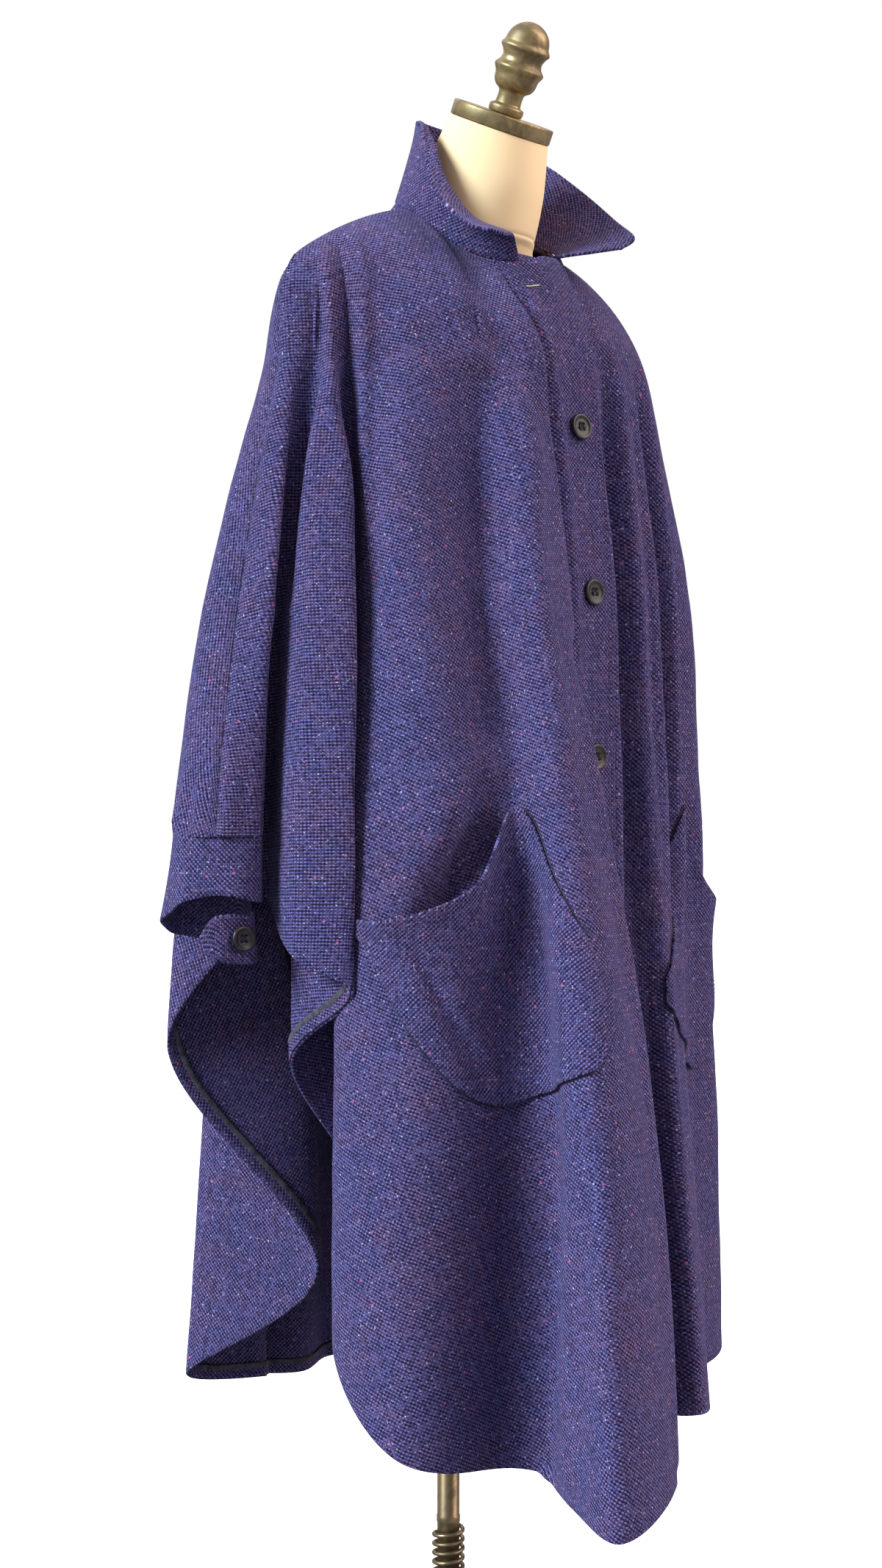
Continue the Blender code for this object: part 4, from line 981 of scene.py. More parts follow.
# from a fold line (and how far past it) at a height, to another at a height; depth, width (mm), bow, skew
creases = [
    # the deep folds from the shoulder down either side of the sleeve's front
    ("cascadeTurn", 0.15, 1.440, "hiddenTurn", -0.05, 1.10, 14.0, 9, 0.12, 1.0),
    ("underarmTurn", 0.20, 1.360, "underarmTurn", -0.35, 1.07, 10.0, 12, 0.0, 1.2),
    # the wide valley down the front and through the pocket
    ("frontValley", -0.32, 1.295, "frontValley", -0.06, 0.92, 31.0, 30, 0.10, 1.35),
    ("frontValley", -0.12, 1.03, "frontValley", -0.06, 0.68, 14.0, 28, 0.0, 1.3),
    ("frontValley", -0.02, 0.80, "frontValley", -0.05, 0.16, 18.0, 38, 0.0, 1.35),
    ("sideLobe", -0.05, 0.77, "sideLobe", -0.60, 0.63, 7.0, 9, 0.0, 1.0),
    # seams drawn in by their stitching
    ("bandSeam", 0.0, 1.42, "bandSeam", 0.0, 0.98, 6.0, 6, 0.0, 1.0),
    ("overarmRight", 0.0, 1.42, "overarmRight", 0.0, 0.80, 1.6, 5, 0.0, 1.0),
    ("overarmLeft", 0.0, 1.42, "overarmLeft", 0.0, 0.80, 1.6, 5, 0.0, 1.0),
    # the hollow under the collar
    ("foldCrest", 0.45, 1.385, "foldFlank", 0.30, 1.22, 7.5, 20, 0.1, 1.0),
    # the far front
    ("nearCrest", 0.45, 1.30, "leftCentre", -0.25, 0.66, 22.0, 12, 0.0, 1.0),
    ("leftValley", 0.05, 1.30, "nearCrest", -0.25, 0.74, 28.0, 12, 0.1, 1.0),
    ("nearCrest", 0.54, 0.92, "nearCrest", 0.46, 0.20, 20.0, 11, 0.0, 1.0),
    # other folds of the right front, the back and the left side
    ("foldFlank", -0.30, 1.02, "foldFlank", -0.25, 0.22, 20.0, 14, 0.0, 1.0),
    ("sideRoll", 0.10, 1.34, "sideRoll", 0.20, 1.02, 3.5, 16, 0.05, 1.0),
    ("backCrest", 0.45, 1.36, "backCrest", 0.25, 0.95, 4.0, 18, 0.1, 1.0),
    ("backCorner", 0.5, 1.30, "backFlute", 0.1, 0.75, 4.5, 20, 0.1, 1.0),
    ("leftCrest", -0.5, 1.34, "leftCrest", -0.35, 0.90, 4.0, 18, -0.1, 1.0),
    ("leftFlute", -0.3, 1.25, "leftFlute", -0.55, 0.72, 4.0, 20, 0.0, 1.0),
    ("leftLobe", -0.5, 1.28, "leftLobe", -0.2, 0.92, 3.5, 18, 0.0, 1.0),
    ("leftRoll", 0.15, 1.34, "leftRoll", 0.3, 1.06, 6.0, 11, 0.0, 1.0),
    ("leftSleeveFront", 0.0, 1.33, "leftUnderarmTurn", 0.0, 1.12, 8.0, 13, 0.0, 1.0),
]
# the fronts sink away behind the mouths of the pockets
pocketHollows = [
    ("frontValley", 0.15, 0.880, "sideLobe", -0.15, 0.763, 30.0, 22, 0.0, 1.0),
    ("leftValley", -0.15, 0.885, "leftLobe", 0.15, 0.775, 8.0, 18, 0.0, 1.0),
]

print("body cloth")
surface, spots, lineNumber = bodyCloth()
addCreases(surface, gridNormals(surface), spots, lineNumber, creases, creaseShape["ridge"])
addUnevenness(surface, gridNormals(surface), spots, lineNumber)
pocketGround, pocketFacing = surface.copy(), gridNormals(surface)
addCreases(surface, gridNormals(surface), spots, lineNumber, pocketHollows, 0)
normals = gridNormals(surface)
squareShoulders(surface, normals)
column = {name: int(np.argmin(abs(spots - number))) for name, number in lineNumber.items()}
panelTable = [
    # piece, node, from fold line, to fold line, grain line, hem from and to
    ("frontBand", "front_band", "bandEdge", "bandSeam", "bandEdge", "bandEdge", "bandSeam"),
    ("rightFront", "right_front", "bandSeam", "overarmRight", "bandSeam", "bandSeam", "underarmFront"),
    ("backPanel", "back", "overarmRight", "overarmLeft", "centreBack", "underarmBack", "leftUnderarmBack"),
    ("leftFront", "left_front", "overarmLeft", "buttonEdge", "buttonEdge", "leftUnderarm", "buttonEdge"),
]
# the hem is turned in and its raw edge serged
hemParts = [
    # name, from and to inside the edge, lift, thickness, look, ripple
    ("Hem", hem["from"], hem["turn"], hem["thick"] / 2 + hem["lift"], hem["thick"], "wool", 0),
    ("Serging", hem["turn"] - hem["sergeWidth"] / 2, hem["turn"] + hem["sergeWidth"] / 2,
     hem["thick"] + hem["sergeThick"] / 2, hem["sergeThick"], "greyThread", hem["ripple"]),
]
for name, node, first, last, grain, hemFrom, hemTo in panelTable:
    a, b = column[first], column[last]
    middle = surface[a:b + 1].copy()
    cut = flatCut(middle, column[grain] - a)
    for edge, neighbour in ((0, 1), (-1, -2)):
        inward = unit(middle[neighbour] - middle[edge])
        inward[0] = inward[1]
        middle[edge] = middle[edge] + inward * (body["seamGap"] / 2 + body["edgeRound"])
    addPanel(name, node, middle, normals[a:b + 1], cut)
    path = edgePath(cut, "hem", column[hemFrom] - a, column[hemTo] - a)
    for part, *values in hemParts:
        trims[name].append(place(edgeStrip(name + part, panels[name], path, *values), "wool"))
print("  grid", surface.shape)

print("stitching")
for name, edge, distance in (
        ("rightFront", "end", stitching["fromSeam"]), ("backPanel", "start", stitching["fromSeam"]),
        ("backPanel", "end", stitching["fromSeam"]), ("leftFront", "start", stitching["fromSeam"]),
        ("frontBand", "start", stitching["fromEdge"]), ("rightFront", "start", stitching["fromBand"])):
    sewRows(name + "Stitches" + edge.capitalize(), name, [edgeLine(name, edge, distance, 1)])


collarShape = {"lift": 2.3 * mm, "standRows": 14, "fallRows": 12, "columnStep": 4.5 * mm, "wall": 3.0 * mm,
               "edgeRound": 1.3 * mm, "stitched": (2.2 * mm, 6.5 * mm)}
# turn round the neck from the front centre by the wearer's right (degrees), then the crest and the rim (mm)
collarLeaf = [
    (21, (-48, 124, 1410), (-76, 141, 1404)),
    (33, (-52, 114, 1415), (-92, 142, 1404)),
    (52, (-67, 93, 1427), (-104, 121, 1411)),
    (76, (-80, 68, 1466), (-104, 77, 1451)),
    (100, (-72, 47, 1502), (-92, 55, 1487)),
    (125, (-57, 18, 1524), (-71, 30, 1527)),
    (150, (-36, -11, 1530), (-42, -2, 1541)),
    (180, (0, -36, 1542), (0, -34, 1554)),
    (208, (38, -24, 1528), (39, -20, 1547)),
    (235, (72, -1, 1515), (76, 4, 1540)),
    (262, (94, 33, 1497), (102, 36, 1521)),
    (290, (103, 74, 1471), (113, 76, 1489)),
    (315, (95, 112, 1440), (114, 118, 1453)),
    (332, (80, 135, 1421), (107, 147, 1430)),
    (341, (62, 134, 1412), (88, 146, 1418)),
]


def collarGrid():
    # the leaf stands on the neck seam, turns over a crest and falls to its rim
    places = [k / collarShape["standRows"] for k in range(collarShape["standRows"])]
    places += [1 + k / collarShape["fallRows"] for k in range(collarShape["fallRows"] + 1)]
    lift = np.array([0, 0, collarShape["lift"]])
    lines = []
    for turn, crest, rim in collarLeaf:
        points = [neckSeam(math.radians(turn), -1) + lift]
        points += [np.array([x, -ahead, height]) * mm for x, ahead, height in (crest, rim)]
        lines.append(np.array([curveAt(np.array(points), np.arange(3), k) for k in places]))
    grid, along = fillAcross(lines, collarShape["columnStep"])
    turns = np.interp(along, np.arange(len(collarLeaf)), [row[0] for row in collarLeaf])
    for strip, turn in zip(grid, turns):
        shift = neckSeam(math.radians(turn), -1) + lift - strip[0]
        for row in range(collarShape["standRows"]):
            strip[row] += shift * (1 - row / collarShape["standRows"])
    return grid


print("collar")
grid = collarGrid()
addPanel("collar", "collar", grid, gridNormals(grid), flatCut(grid, len(grid) // 2, 2), collarShape["wall"],
         collarShape["edgeRound"])
for distance in collarShape["stitched"]:
    rows = [edgeLine("collar", edge, distance, first, side=side)
            for side in (1, -1) for edge, first in (("hem", 0), ("start", 3), ("end", 3))]
    sewRows("collarStitches%d" % round(distance / mm), "collar", rows)


cuffShape = {"topGap": 0.5 * mm, "rows": 12, "columnStep": 3.5 * mm, "tabRound": 17 * mm, "curl": 2.4 * mm,
             "curlSpacing": 47 * mm, "curlPhase": 0.8, "curlEnds": 40 * mm, "tabLeast": 0.12}
# across and ahead of the sewn edge and its height, then of the free edge (mm)
cuffBand = [
    (265, 11, 854, 268, 14, 796),
    (286, 31, 854, 290, 35, 797),
    (318, 13, 854, 324, 14, 803),
    (328, -29, 854, 336, -26, 790),
    (294, -57, 854, 308, -64, 768),
    (267, -43, 853, 277, -53, 760),
    (264, -12, 847, 265, -22, 752),
    (266, 2, 800, 267, 4, 746),
    (283, 19, 786, 285, 22, 742),
    (306, 15, 785, 308, 18, 743),
    (320, 6, 782, 322, 8, 746),
    (326, 0, 773, 327, 1, 757),
]


def cuffGrid(side):
    # a band round the sleeve's end, one end lapped over as a round-ended tab
    lines = []
    for a, b, top, c, d, low in cuffBand:
        upper = np.array([side * a, -b, top - cuffShape["topGap"] / mm]) * mm
        lower = np.array([side * c, -d, low]) * mm
        t = np.linspace(0, 1, cuffShape["rows"])[:, None]
        lines.append(upper + (lower - upper) * t)
    grid, _ = fillAcross(lines, cuffShape["columnStep"])
    run = runLengths(grid, 0)[:, cuffShape["rows"] // 2]
    for strip, away in zip(grid, run[-1] - run):
        if away < cuffShape["tabRound"]:
            part = max(cuffShape["tabLeast"], math.sqrt(max(0, 1 - (1 - away / cuffShape["tabRound"]) ** 2)))
            centre = strip.mean(axis=0)
            strip += (centre - strip) * (1 - part)
    # the free lower edge ripples a little
    run = runLengths(grid, 0)[:, -1]
    share = np.linspace(0, 1, grid.shape[1])[None, :, None] ** 2
    ends = np.clip(np.minimum(run, run[-1] - run) / cuffShape["curlEnds"], 0, 1)
    wave = np.sin(run / cuffShape["curlSpacing"] * 2 * math.pi + cuffShape["curlPhase"]) * ends
    return grid + gridNormals(grid) * -side * share * (wave * cuffShape["curl"])[:, None, None]


print("cuffs")
for side, name, node in ((-1, "cuffRight", "cuff_right"), (1, "cuffLeft", "cuff_left")):
    grid = cuffGrid(side)
    addPanel(name, node, grid, gridNormals(grid) * -side, runningCut(grid))
    sewRows(name + "Stitches", name, [edgeLine(name, "hem", stitching["cuffHem"], 2),
                                      edgeLine(name, "end", stitching["cuffHem"], 2),
                                      edgeLine(name, "top", stitching["cuffTop"], 2)])


pocketShape = {"gap": 0.7 * mm, "wall": 2.8 * mm, "gapeDepth": 0.7, "rows": 40, "step": 0.16,
               "lastPlace": 9.35, "roundFrom": 8.2, "roundPast": 0.05, "roundLeast": 0.02}
# place in quarter steps forwards of the side lobe, upper and lower edge (height in mm)
pocketOutline = [(-2.45, 781, 768), (-2, 780, 760), (-1, 779, 728), (0, 783, 694), (1, 793, 656),
                 (2, 812, 627), (3, 850, 619), (4, 878, 628), (5, 870, 636), (6, 831, 644), (7, 797, 651),
                 (8, 764, 659), (9, 734, 676), (10, 700, 690)]
mouthEnd = 4.0


def pocketGrid(lobe, step, firstStep, gape):
    # a patch that follows the front it is sewn to, with its slanted mouth standing open
    table = np.array(pocketOutline, float)
    wanted = np.arange(table[0, 0], pocketShape["lastPlace"], pocketShape["step"])
    grid, rounding = [], pocketShape["roundFrom"]
    for p in wanted:
        top, low = curveAt(table[:, 1:], table[:, 0], p) * mm
        if p > rounding:
            t = (p - rounding) / (pocketShape["lastPlace"] + pocketShape["roundPast"] - rounding)
            half = (top - low) / 2 * math.sqrt(max(pocketShape["roundLeast"], 1 - t * t))
            top, low = (top + low) / 2 + half, (top + low) / 2 - half
        opening = math.sin(math.pi * min(1, (p - table[0, 0]) / (mouthEnd - table[0, 0])))
        spot = lineNumber[lobe] + step * p * (0.25 if p >= 0 else firstStep)
        points = []
        for t in np.linspace(0, 1, pocketShape["rows"]):
            at = np.array([spotHeight(pocketGround, spots, spot, top + (low - top) * t)])
            point, normal = sample(pocketGround, at)[0], unit(sample(pocketFacing, at))[0]
            flare = opening * max(0, 1 - t / pocketShape["gapeDepth"]) ** 2
            points.append(point + normal * (pocketShape["wall"] + pocketShape["gap"] + gape * flare))
        grid.append(points)
    return np.array(grid), wanted


print("pockets")
for name, node, lobe, step, firstStep, gape in (
        ("pocketRight", "pocket_right", "sideLobe", -1, 0.25, 19 * mm),
        ("pocketLeft", "pocket_left", "leftLobe", 1, 1 / 3, 7 * mm)):
    grid, wanted = pocketGrid(lobe, step, firstStep, gape)
    addPanel(name, node, grid, gridNormals(grid) * step, flatCut(grid, len(grid) // 2, 2))
    mouth = int(np.searchsorted(wanted, mouthEnd))
    sewnEdges = [("hem", 2), ("top", mouth), ("end", 1)]
    rows = [edgeLine(name, edge, stitching["pocketEdge"], first) for edge, first in sewnEdges]
    rows.append(edgeLine(name, "top", stitching["pocketMouth"], 1, mouth))
    sewRows(name + "Stitches", name, rows)


buttonShape = {"sides": 56, "holeRadius": 1.2 * mm, "holeSpread": 3.5 * mm, "large": 12.5 * mm,
               "small": 11.5 * mm, "middle": 2.1 * mm, "drillHeights": (-3, 0, 3, 9)}
# distance inside the rim and height (mm), from the underside up over the rim to the dished face
buttonProfile = [(2.4, 0), (0.8, 0.2), (0.12, 0.9), (0, 1.9), (0.1, 2.9), (0.6, 3.75), (1.6, 4.2),
                 (2.7, 4.0), (3.5, 3.3), (4.6, 2.95), (6.6, 2.8)]
# the thread through two holes: across in hole spreads, height in mm
threadArch = [(-1, 0.6), (-0.98, 2.4), (-0.7, 3.15), (0, 3.35), (0.7, 3.15), (0.98, 2.4), (1, 0.6)]
sewing = {"thread": 0.32 * mm, "apart": 0.35, "shank": 1.9 * mm, "shankFrom": -1.4, "shankTo": 0.2,
          "shankDrift": 0.25 * mm}
hole = {"half": 13 * mm, "halfHeight": 1.5 * mm, "across": -6 * mm, "sides": 150, "thread": 0.72 * mm,
        "slit": 0.75 * mm, "topCentre": (-24 * mm, -0.128, 1.368), "topHalf": 14 * mm,
        "squareAcross": 0.55, "squareUp": 0.7, "lift": 0.15, "slitLift": 0.1, "slitHalf": 0.97,
        "wave": 0.16, "waveRate": 2.6}


def drilledButton(radius):
    profile = [(radius - inside * mm, height * mm) for inside, height in buttonProfile]
    blank = revolve("buttonBlank", profile, buttonShape["sides"], "darkButton", smoothAngle=40)
    drills = []
    for corner in range(4):
        turn = math.pi / 2 * corner + math.pi / 4
        spot = np.array([math.cos(turn), math.sin(turn), 0]) * buttonShape["holeSpread"]
        bar = [spot + up * z * mm for z in buttonShape["drillHeights"]]
        drills.append(tube(bar, buttonShape["holeRadius"], 16))
    drill = joined("buttonDrill", drills, "darkButton")
    cut = blank.modifiers.new("holes", "BOOLEAN")
    cut.operation = "DIFFERENCE"
    cut.object = drill
    mesh = bpy.data.meshes.new_from_object(blank.evaluated_get(bpy.context.evaluated_depsgraph_get()))
    mesh.name = "drilledButton"
    for item in (blank, drill):
        bpy.data.objects.remove(item, do_unlink=True)
    return mesh


def nodeCentre(node):
    low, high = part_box(node)
    return (np.array(low) + np.array(high)) / 2


def clothNear(owner, target):
    # the point of a piece's cloth nearest to a target, and which way it faces
    middle, facing, _ = panels[owner]
    near = np.linalg.norm(middle - np.array(target), axis=2)
    spot = np.unravel_index(near.argmin(), near.shape)
    return middle[spot], facing[spot]


def sewButton(name, node, mesh, owner):
    # the button stands where its node is, square to the cloth under it, its thread through the four holes
    centre = nodeCentre(node)
    _, normal = clothNear(owner, centre)
    at = Vector(centre - normal * buttonShape["middle"])
    made = linked(name, mesh)
    setDown(made, at, normal)
    place(made, "dark_button", node)
    spread = buttonShape["holeSpread"] * math.sqrt(0.5)
    bars = []
    for side in (-1, 1):
        for shift in (-sewing["apart"], sewing["apart"]):
            arch = [(side * spread + shift * mm, y * spread, z * mm) for y, z in threadArch]
            bars.append(tube(arch, sewing["thread"], 6))
    shank = [(sewing["shankDrift"] * math.cos(k), sewing["shankDrift"] * math.sin(k), z * mm)
             for k, z in enumerate(np.linspace(sewing["shankFrom"], sewing["shankTo"], 5))]
    bars.append(tube(shank, sewing["shank"], 12))
    thread = joined(name + "Thread", bars, "darkThreadAndShadow")
    setDown(thread, at, normal)
    trims[owner].append(place(thread, "wool"))


def buttonhole(name, owner, centre, half):
    # a slit, drawn as a dark bar of painted shade, with a close row of stitches all round it, on the outer
    # face
    at, normal = clothNear(owner, centre)
    across = unit(np.cross(up, normal))
    rise = np.cross(normal, across)
    base = at + normal * (body["wall"] / 2)
    ring = []
    for x, y in circle(hole["sides"], hole["sides"] + 1):
        x = half * np.sign(x) * abs(x) ** hole["squareAcross"]
        y = hole["halfHeight"] * np.sign(y) * abs(y) ** hole["squareUp"]
        ring.append(base + across * x + rise * y + normal * hole["lift"] * mm)
    fat = hole["thread"] * (1 + hole["wave"] * np.sin(np.arange(hole["sides"] + 1) * hole["waveRate"]))
    # the slit is a dark bar of painted shade lying on the cloth
    slit = [base + across * x * half + normal * hole["slitLift"] * mm
            for x in np.linspace(-hole["slitHalf"], hole["slitHalf"], 9)]
    sewOn(owner, name, [tube(ring, fat)], "woolThread")
    sewOn(owner, name + "SlitShadow", [tube(slit, hole["slit"])], "darkThreadAndShadow")
    return base, across, rise, normal


print("buttons")
large, small = drilledButton(buttonShape["large"]), drilledButton(buttonShape["small"])
for number in (2, 3, 4, 5):
    node = "button_%d" % number
    centre = nodeCentre(node) + np.array([hole["across"], 0, 0])
    buttonhole("buttonhole%d" % number, "frontBand", centre, hole["half"])
    sewButton("button%d" % number, node, large, "frontBand")
sewButton("button1", "button_1", large, "leftFront")
sewButton("cuffButtonRight", "cuff_button_right", small, "cuffRight")
sewButton("cuffButtonLeft", "cuff_button_left", small, "cuffLeft")
base, across, rise, normal = buttonhole("topButtonhole", "frontBand", hole["topCentre"], hole["topHalf"])
# a loose thread end, its points across and up in mm
looseEnd = {"points": [(-9, -1.6), (-5, -1.2), (0, 0.2), (4, 1.0), (6, 1.9)],
            "lift": 0.9, "radius": 0.5 * mm}
tail = [base + across * x * mm + rise * y * mm + normal * looseEnd["lift"] * mm
        for x, y in looseEnd["points"]]
sewOn("frontBand", "topButtonholeTail", [tube(tail, looseEnd["radius"])], "creamThread")


# dark bars of painted shadow, just past and under the edges where the seams are drawn in
seamRead = {"outer": 0.05 * mm, "inner": 3 * mm}      # two lines inside an edge, to tell which way is out
seamShadows = [
    # piece, its edges and the first place on each, how far past the edge and below the outer face, thickness
    ("rightFront", [("start", 1), ("end", 1)], 1.08 * mm, 0.6 * mm, 0.55 * mm),
    ("leftFront", [("start", 1)], 1.08 * mm, 0.6 * mm, 0.55 * mm),
    ("pocketRight", sewnEdges, 1.5 * mm, 3.1 * mm, 0.58 * mm),
    ("pocketLeft", sewnEdges, 1.5 * mm, 3.1 * mm, 0.58 * mm),
]

print("seam lines")
for name, edges, past, below, radius in seamShadows:
    parts = []
    for edge, first in edges:
        line, face = edgeLine(name, edge, seamRead["outer"], first)
        inner, _ = edgeLine(name, edge, seamRead["inner"], first)
        # a dark bar of painted shadow just past the edge and under its outer face
        parts.append(tube(line + unit(line - inner) * past - face * below, radius, 6))
    sewOn(name, name + "SeamShadow", parts, "darkThreadAndShadow")


# the limbless form: height, how far behind the pole, lean, half width, half depth, shoulder reach, ridge
formRings = [
    (720, 2, 0, 140, 96, 0, 1), (724, 2, 0, 148, 103, 0, 1),
    (780, 3, 0, 162, 113, 0, 1), (850, 3, 0, 168, 118, 0, 1),
    (940, 1, 0, 148, 106, 0, 1), (1030, -3, 0, 122, 92, 0, 1),
    (1110, -9, 0, 137, 106, 0, 1), (1180, -17, 0, 152, 121, 0, 1),
    (1250, -8, 0, 160, 108, 0, 1), (1305, -1, 0, 160, 90, 8, 2),
    (1340, -3, 0, 146, 80, 28, 2), (1364, -7, 0, 124, 74, 52, 3),
    (1382, -12, 0, 104, 69, 72, 4), (1397, -18, 0, 86, 63, 84, 6),
    (1409, -25, 0, 70, 58, 90, 9), (1418.4, -31, 1, 63, 56, 86, 14),
    (1424.5, -35, 3, 60, 56, 76, 60), (1430, -37, 4, 58, 56, 0, 1),
    (1450, -42, 6, 58, 57, 0, 1), (1476, -46, 12, 57.5, 60, 0, 1),
    (1503, -55, 19, 54, 56.5, 0, 1),
]
neckCap = {"tilt": math.radians(25), "centre": np.array([0.0, -0.0695, 1.5367]), "radius": 50 * mm,
           "thickness": 14.5 * mm, "overhang": 0.5 * mm, "sides": 128}
formShape = {"sides": 128, "slack": 0.994, "ridgeBehind": -5 * mm, "seamDepth": 0.9 * mm,
             "seamWidth": 1.6 * mm, "steps": 5, "neckSeam": 1.4285, "neckSeamWidth": 1.2 * mm,
             "seamTop": 1418, "smoothFrom": 2, "smoothTo": 9, "smoothNeck": 17}
capAxis = np.array([0, -math.sin(neckCap["tilt"]), math.cos(neckCap["tilt"])])
formSeams = (0, 38, 90, 142, 180, 218, 270, 322)   # degrees round the form


def formPiece():
    top = neckCap["centre"] - capAxis * (neckCap["thickness"] / 2 + body["seamGap"])
    radius = (neckCap["radius"] - neckCap["overhang"]) / mm
    last = (top[2] / mm, top[1] / mm, math.degrees(neckCap["tilt"]), radius, radius, 0, 1)
    rings = np.array(formRings + [last], float)
    wanted = [0.0, 0.5]
    steps = formShape["steps"]
    wanted += [k / steps for k in range(steps, (len(rings) - 1) * steps + 1)]
    verts, cut = [], []
    for w in wanted:
        k = min(int(w), len(rings) - 2)
        height, behind, lean, wide, deep, reach, ridge = rings[k] + (rings[k + 1] - rings[k]) * (w - k)
        if formShape["smoothFrom"] < w < formShape["smoothTo"] or w > formShape["smoothNeck"]:
            height, behind, lean, wide, deep, reach, ridge = curveAt(rings, np.arange(len(rings)), w)
        back = np.array([0, math.cos(math.radians(lean)), math.sin(math.radians(lean))]) * deep * mm
        neckAway = (height * mm - formShape["neckSeam"]) / formShape["neckSeamWidth"]
        for side in range(formShape["sides"]):
            turn = 2 * math.pi * side / formShape["sides"]
            share = abs(math.cos(turn)) ** ridge if reach > 0 else 0
            across = math.cos(turn) * (wide + reach * share) * mm
            y = behind * mm * (1 - share) + formShape["ridgeBehind"] * share
            middle = np.array([0, y, height * mm])
            away = min(abs((math.degrees(turn) - s + 180) % 360 - 180) for s in formSeams)
            away = away * wide * mm * math.pi / 180
            groove = math.exp(-(away / formShape["seamWidth"]) ** 2) if height < formShape["seamTop"] else 0
            groove = max(groove, math.exp(-neckAway ** 2))
            slack = formShape["slack"] - groove * formShape["seamDepth"] / (wide * mm)
            verts.append(middle + (np.array([across, 0, 0]) + back * math.sin(turn)) * slack)
            cut.append((turn * wide * mm, height * mm, 0))
    made = newObject("linenForm", verts, ringFaces(formShape["sides"], len(wanted)), "linen", 50)
    keepCut(made, cut)
    return made


print("form and stand")
place(formPiece(), "linen", "form")


def smoothProfile(points, steps=6):
    # radii and heights read from a smooth curve through the turned shape's points
    points = [np.array([p]) for p in np.array(points, float)]
    made = []
    for k in range(len(points) - 1):
        before, after = points[max(k - 1, 0)], points[min(k + 2, len(points) - 1)]
        made += [between(before, points[k], points[k + 1], after, t / steps)[0] for t in range(steps)]
    return [tuple(p * mm) for p in made + [points[-1][0]]]


capProfile = [(46, -7.25), (49.0, -7.25), (49.6, -6.9), (50, -6.3), (50, 5.6), (49.7, 6.5), (49.0, 7.1),
              (48.0, 7.25), (47.2, 6.95), (46.4, 6.7), (20, 6.9), (17.5, 7.25)]
finialProfile = [
    (14.5, 0), (16, 0.4), (17, 3), (16.6, 7.2), (14.2, 8.6), (12.8, 9.5), (12.2, 13), (12.2, 17.5),
    (13, 21.5), (17.6, 25), (20.4, 30), (21.4, 36.5), (24.1, 42), (24.1, 44), (20.6, 48.5), (19.6, 53.2),
    (21.6, 58.2), (24.2, 62.4), (21.6, 67.5), (20.6, 72), (18.4, 77.5), (13.6, 83), (6.5, 87.0), (1.0, 88.0)]
baseProfile = [(225, 0), (225, 6.5), (224.2, 8.6), (222.2, 10.6), (219, 12), (214, 12.7), (140, 15.2),
               (62, 17.6), (50, 19.6), (40, 24), (31.5, 29), (26, 34.5), (22.5, 41), (20.6, 48), (19.6, 60),
               (19, 78), (19, 92), (18.7, 94.4), (17.5, 95.5)]
stand = {"springRadius": 14.2 * mm, "wire": 2.2 * mm, "springTop": 0.172, "turns": 8, "turnSteps": 36,
         "gap": 0.35 * mm}
capFoot = neckCap["centre"] + capAxis * (neckCap["thickness"] / 2 + stand["gap"])
baseTop = baseProfile[-1][1] * mm
poleFoot, poleTop = baseTop + stand["gap"], formRings[0][0] * mm - stand["gap"]
poleProfile = [(10.4 * mm, poleFoot), (11 * mm, poleFoot + 0.6 * mm), (11 * mm, 0.176), (11.6 * mm, 0.177),
               (11.6 * mm, 0.183), (11 * mm, 0.184), (11 * mm, poleTop - 0.6 * mm), (10.4 * mm, poleTop)]
turned = [
    # piece, node, profile, sides, look, slot, axis, foot, smooth angle
    ("neckCap", "neck_cap", [(r * mm, h * mm) for r, h in capProfile], neckCap["sides"], "agedBrass",
     "aged_brass", capAxis, neckCap["centre"], 35),
    ("turnedFinial", "finial", smoothProfile(finialProfile), 96, "agedBrass", "aged_brass", capAxis,
     capFoot, 60),
    ("castBase", "base", [(r * mm, h * mm) for r, h in baseProfile], 128, "blackIron", "black_iron", up,
     (0, 0, 0), 50),
    ("standPole", "pole", poleProfile, 64, "bronze", "bronze", up, (0, 0, 0), 45),
]
for name, node, profile, sides, look, slot, axis, centre, smooth in turned:
    place(revolve(name, profile, sides, look, axis, centre, smooth), slot, node)
low = baseTop + stand["wire"] + stand["gap"]
steps = stand["turns"] * stand["turnSteps"]
coil = [(stand["springRadius"] * x, stand["springRadius"] * y,
         low + (stand["springTop"] - stand["wire"] - low) * k / steps)
        for k, (x, y) in enumerate(circle(stand["turnSteps"], steps + 1))]
place(joined("coilSpring", [tube(coil, stand["wire"], 10)], "bronze"), "bronze", "spring")


# camera, light and floor
view = {"azimuth": 48.0, "distance": 2.3, "height": 0.90, "lens": 53.79, "turn": 0.18}
camera = bpy.data.cameras.new("camera")
camera.lens = view["lens"]
camera.sensor_width = 36
cameraObject = linked("camera", camera)
ahead = math.radians(view["azimuth"])
aim = np.array([math.sin(ahead), math.cos(ahead)]) * view["distance"]
cameraObject.location = (-aim[0], -aim[1], view["height"])
cameraObject.rotation_euler = (math.radians(90), 0, -ahead + math.radians(view["turn"]))
bpy.context.scene.camera = cameraObject

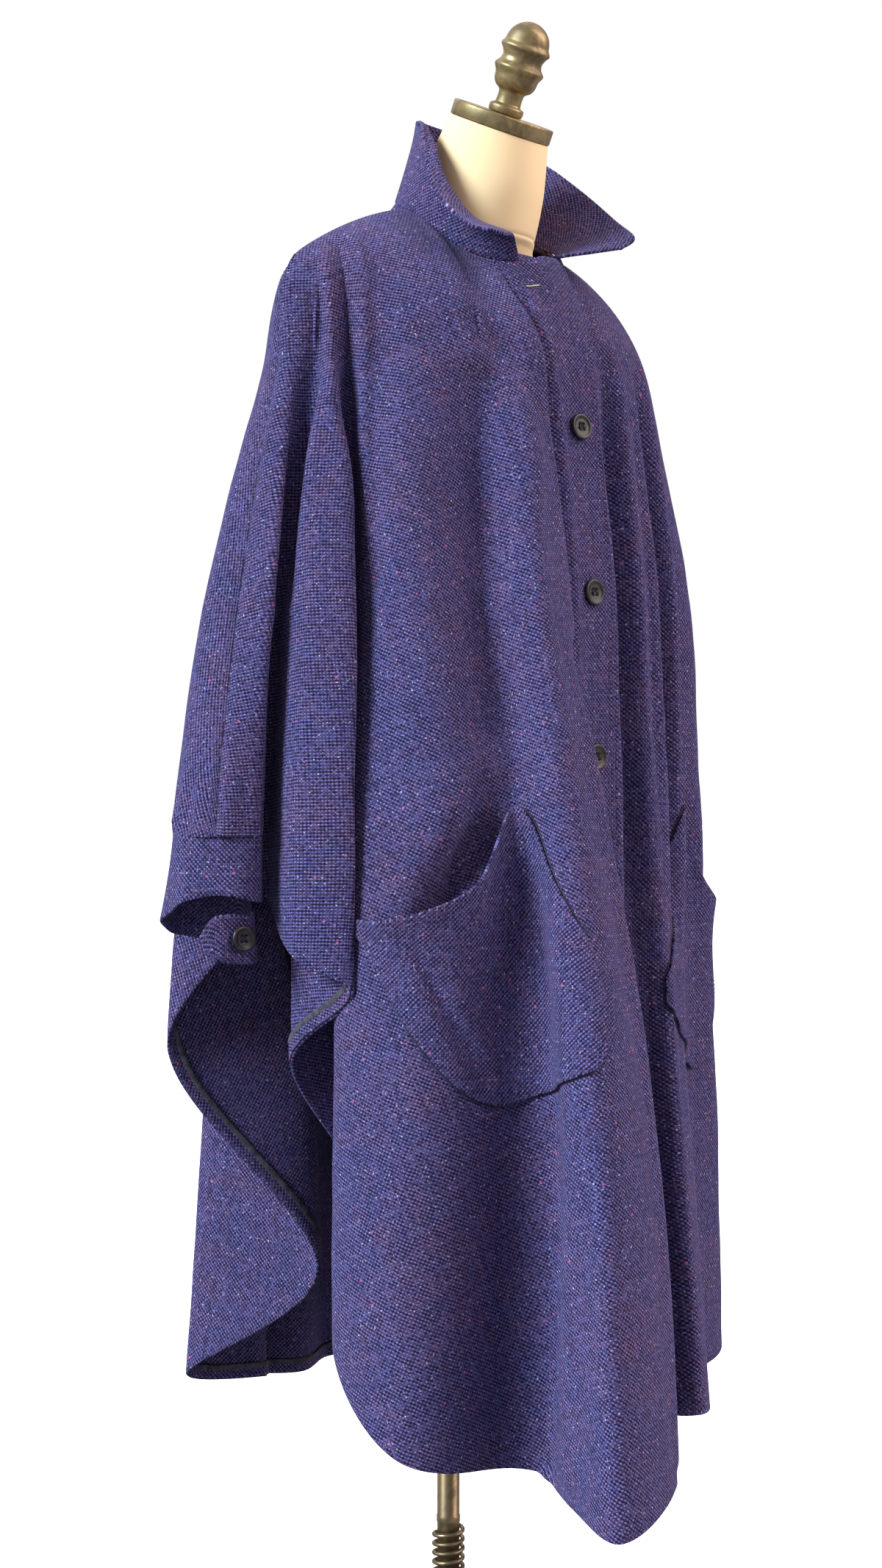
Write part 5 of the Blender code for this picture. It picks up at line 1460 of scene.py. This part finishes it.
lights = {
    # name: degrees from the front by the wearer's right, elevation, strength, softness (degrees), colour
    "window": (108, 32, 5.8, 24, (0.86, 1.0, 1.07)),
    "room": (-32, 36, 3.4, 60, (1.0, 0.87, 0.84)),
    "behind": (-150, 40, 0.7, 60, (1.0, 0.95, 0.96)),
}
studio = {"backdrop": (1.0, 1.0, 1.0, 1), "skylight": (1.0, 0.87, 0.88, 1), "strength": 0.27,
          "floor": (0.93, 0.93, 0.93, 1), "speckle": (0.95, 0.95, 0.95, 1), "floorHalf": 40.0,
          "bounce": (0.25, 0.25, 0.26, 1), "glow": 0.45}


def addLight(name, azimuth, elevation, strength, softness, colour):
    light = bpy.data.lights.new(name, "SUN")
    light.energy = strength
    light.angle = math.radians(softness)
    light.color = colour
    turn, rise = math.radians(azimuth), math.radians(elevation)
    source = Vector((-math.sin(turn) * math.cos(rise), -math.cos(turn) * math.cos(rise), math.sin(rise)))
    setDown(linked(name, light), source * 3, -source, "-Z")


print("light and floor")
for name, values in lights.items():
    addLight(name, *values)
world = bpy.data.worlds.new("studio")
world.use_nodes = True
s, nodes = Shader(world.node_tree), world.node_tree.nodes
s.set(nodes["Background"].inputs, {"Color": studio["skylight"], "Strength": studio["strength"]})
seen = s.node("Background", {"Color": studio["backdrop"], "Strength": 1.0})[0]
onCamera = s.node("LightPath", {})["Is Camera Ray"]
both = s.node("MixShader", {0: onCamera, 1: nodes["Background"].outputs[0], 2: seen})[0]
s.set(nodes["World Output"].inputs, {"Surface": both})
bpy.context.scene.world = world
bpy.context.scene.view_settings.view_transform = "Standard"

looks["paleFloor"], s, shader = newMaterial("paleFloor", (0.9, 0.9, 0.9))
speckle = s.noise(s.node("TexCoord", {})["Object"], scale=2.5)
pale = s.mix(s.ramp(speckle, 0.3, 0.7), studio["floor"], studio["speckle"])
onCamera = s.node("LightPath", {})["Is Camera Ray"]
s.set(shader, {"Base Color": s.mix(onCamera, studio["bounce"], pale), "Emission Color": (1, 1, 1, 1),
               "Emission Strength": s.times(onCamera, studio["glow"]), "Roughness": 0.9})
half = studio["floorHalf"]
corners = [(-half, -half, 0), (half, -half, 0), (half, half, 0), (-half, half, 0)]
newObject("floor", corners, [(0, 1, 2, 3)], "paleFloor", smoothAngle=None, keepTurn=True)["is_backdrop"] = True

low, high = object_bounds()
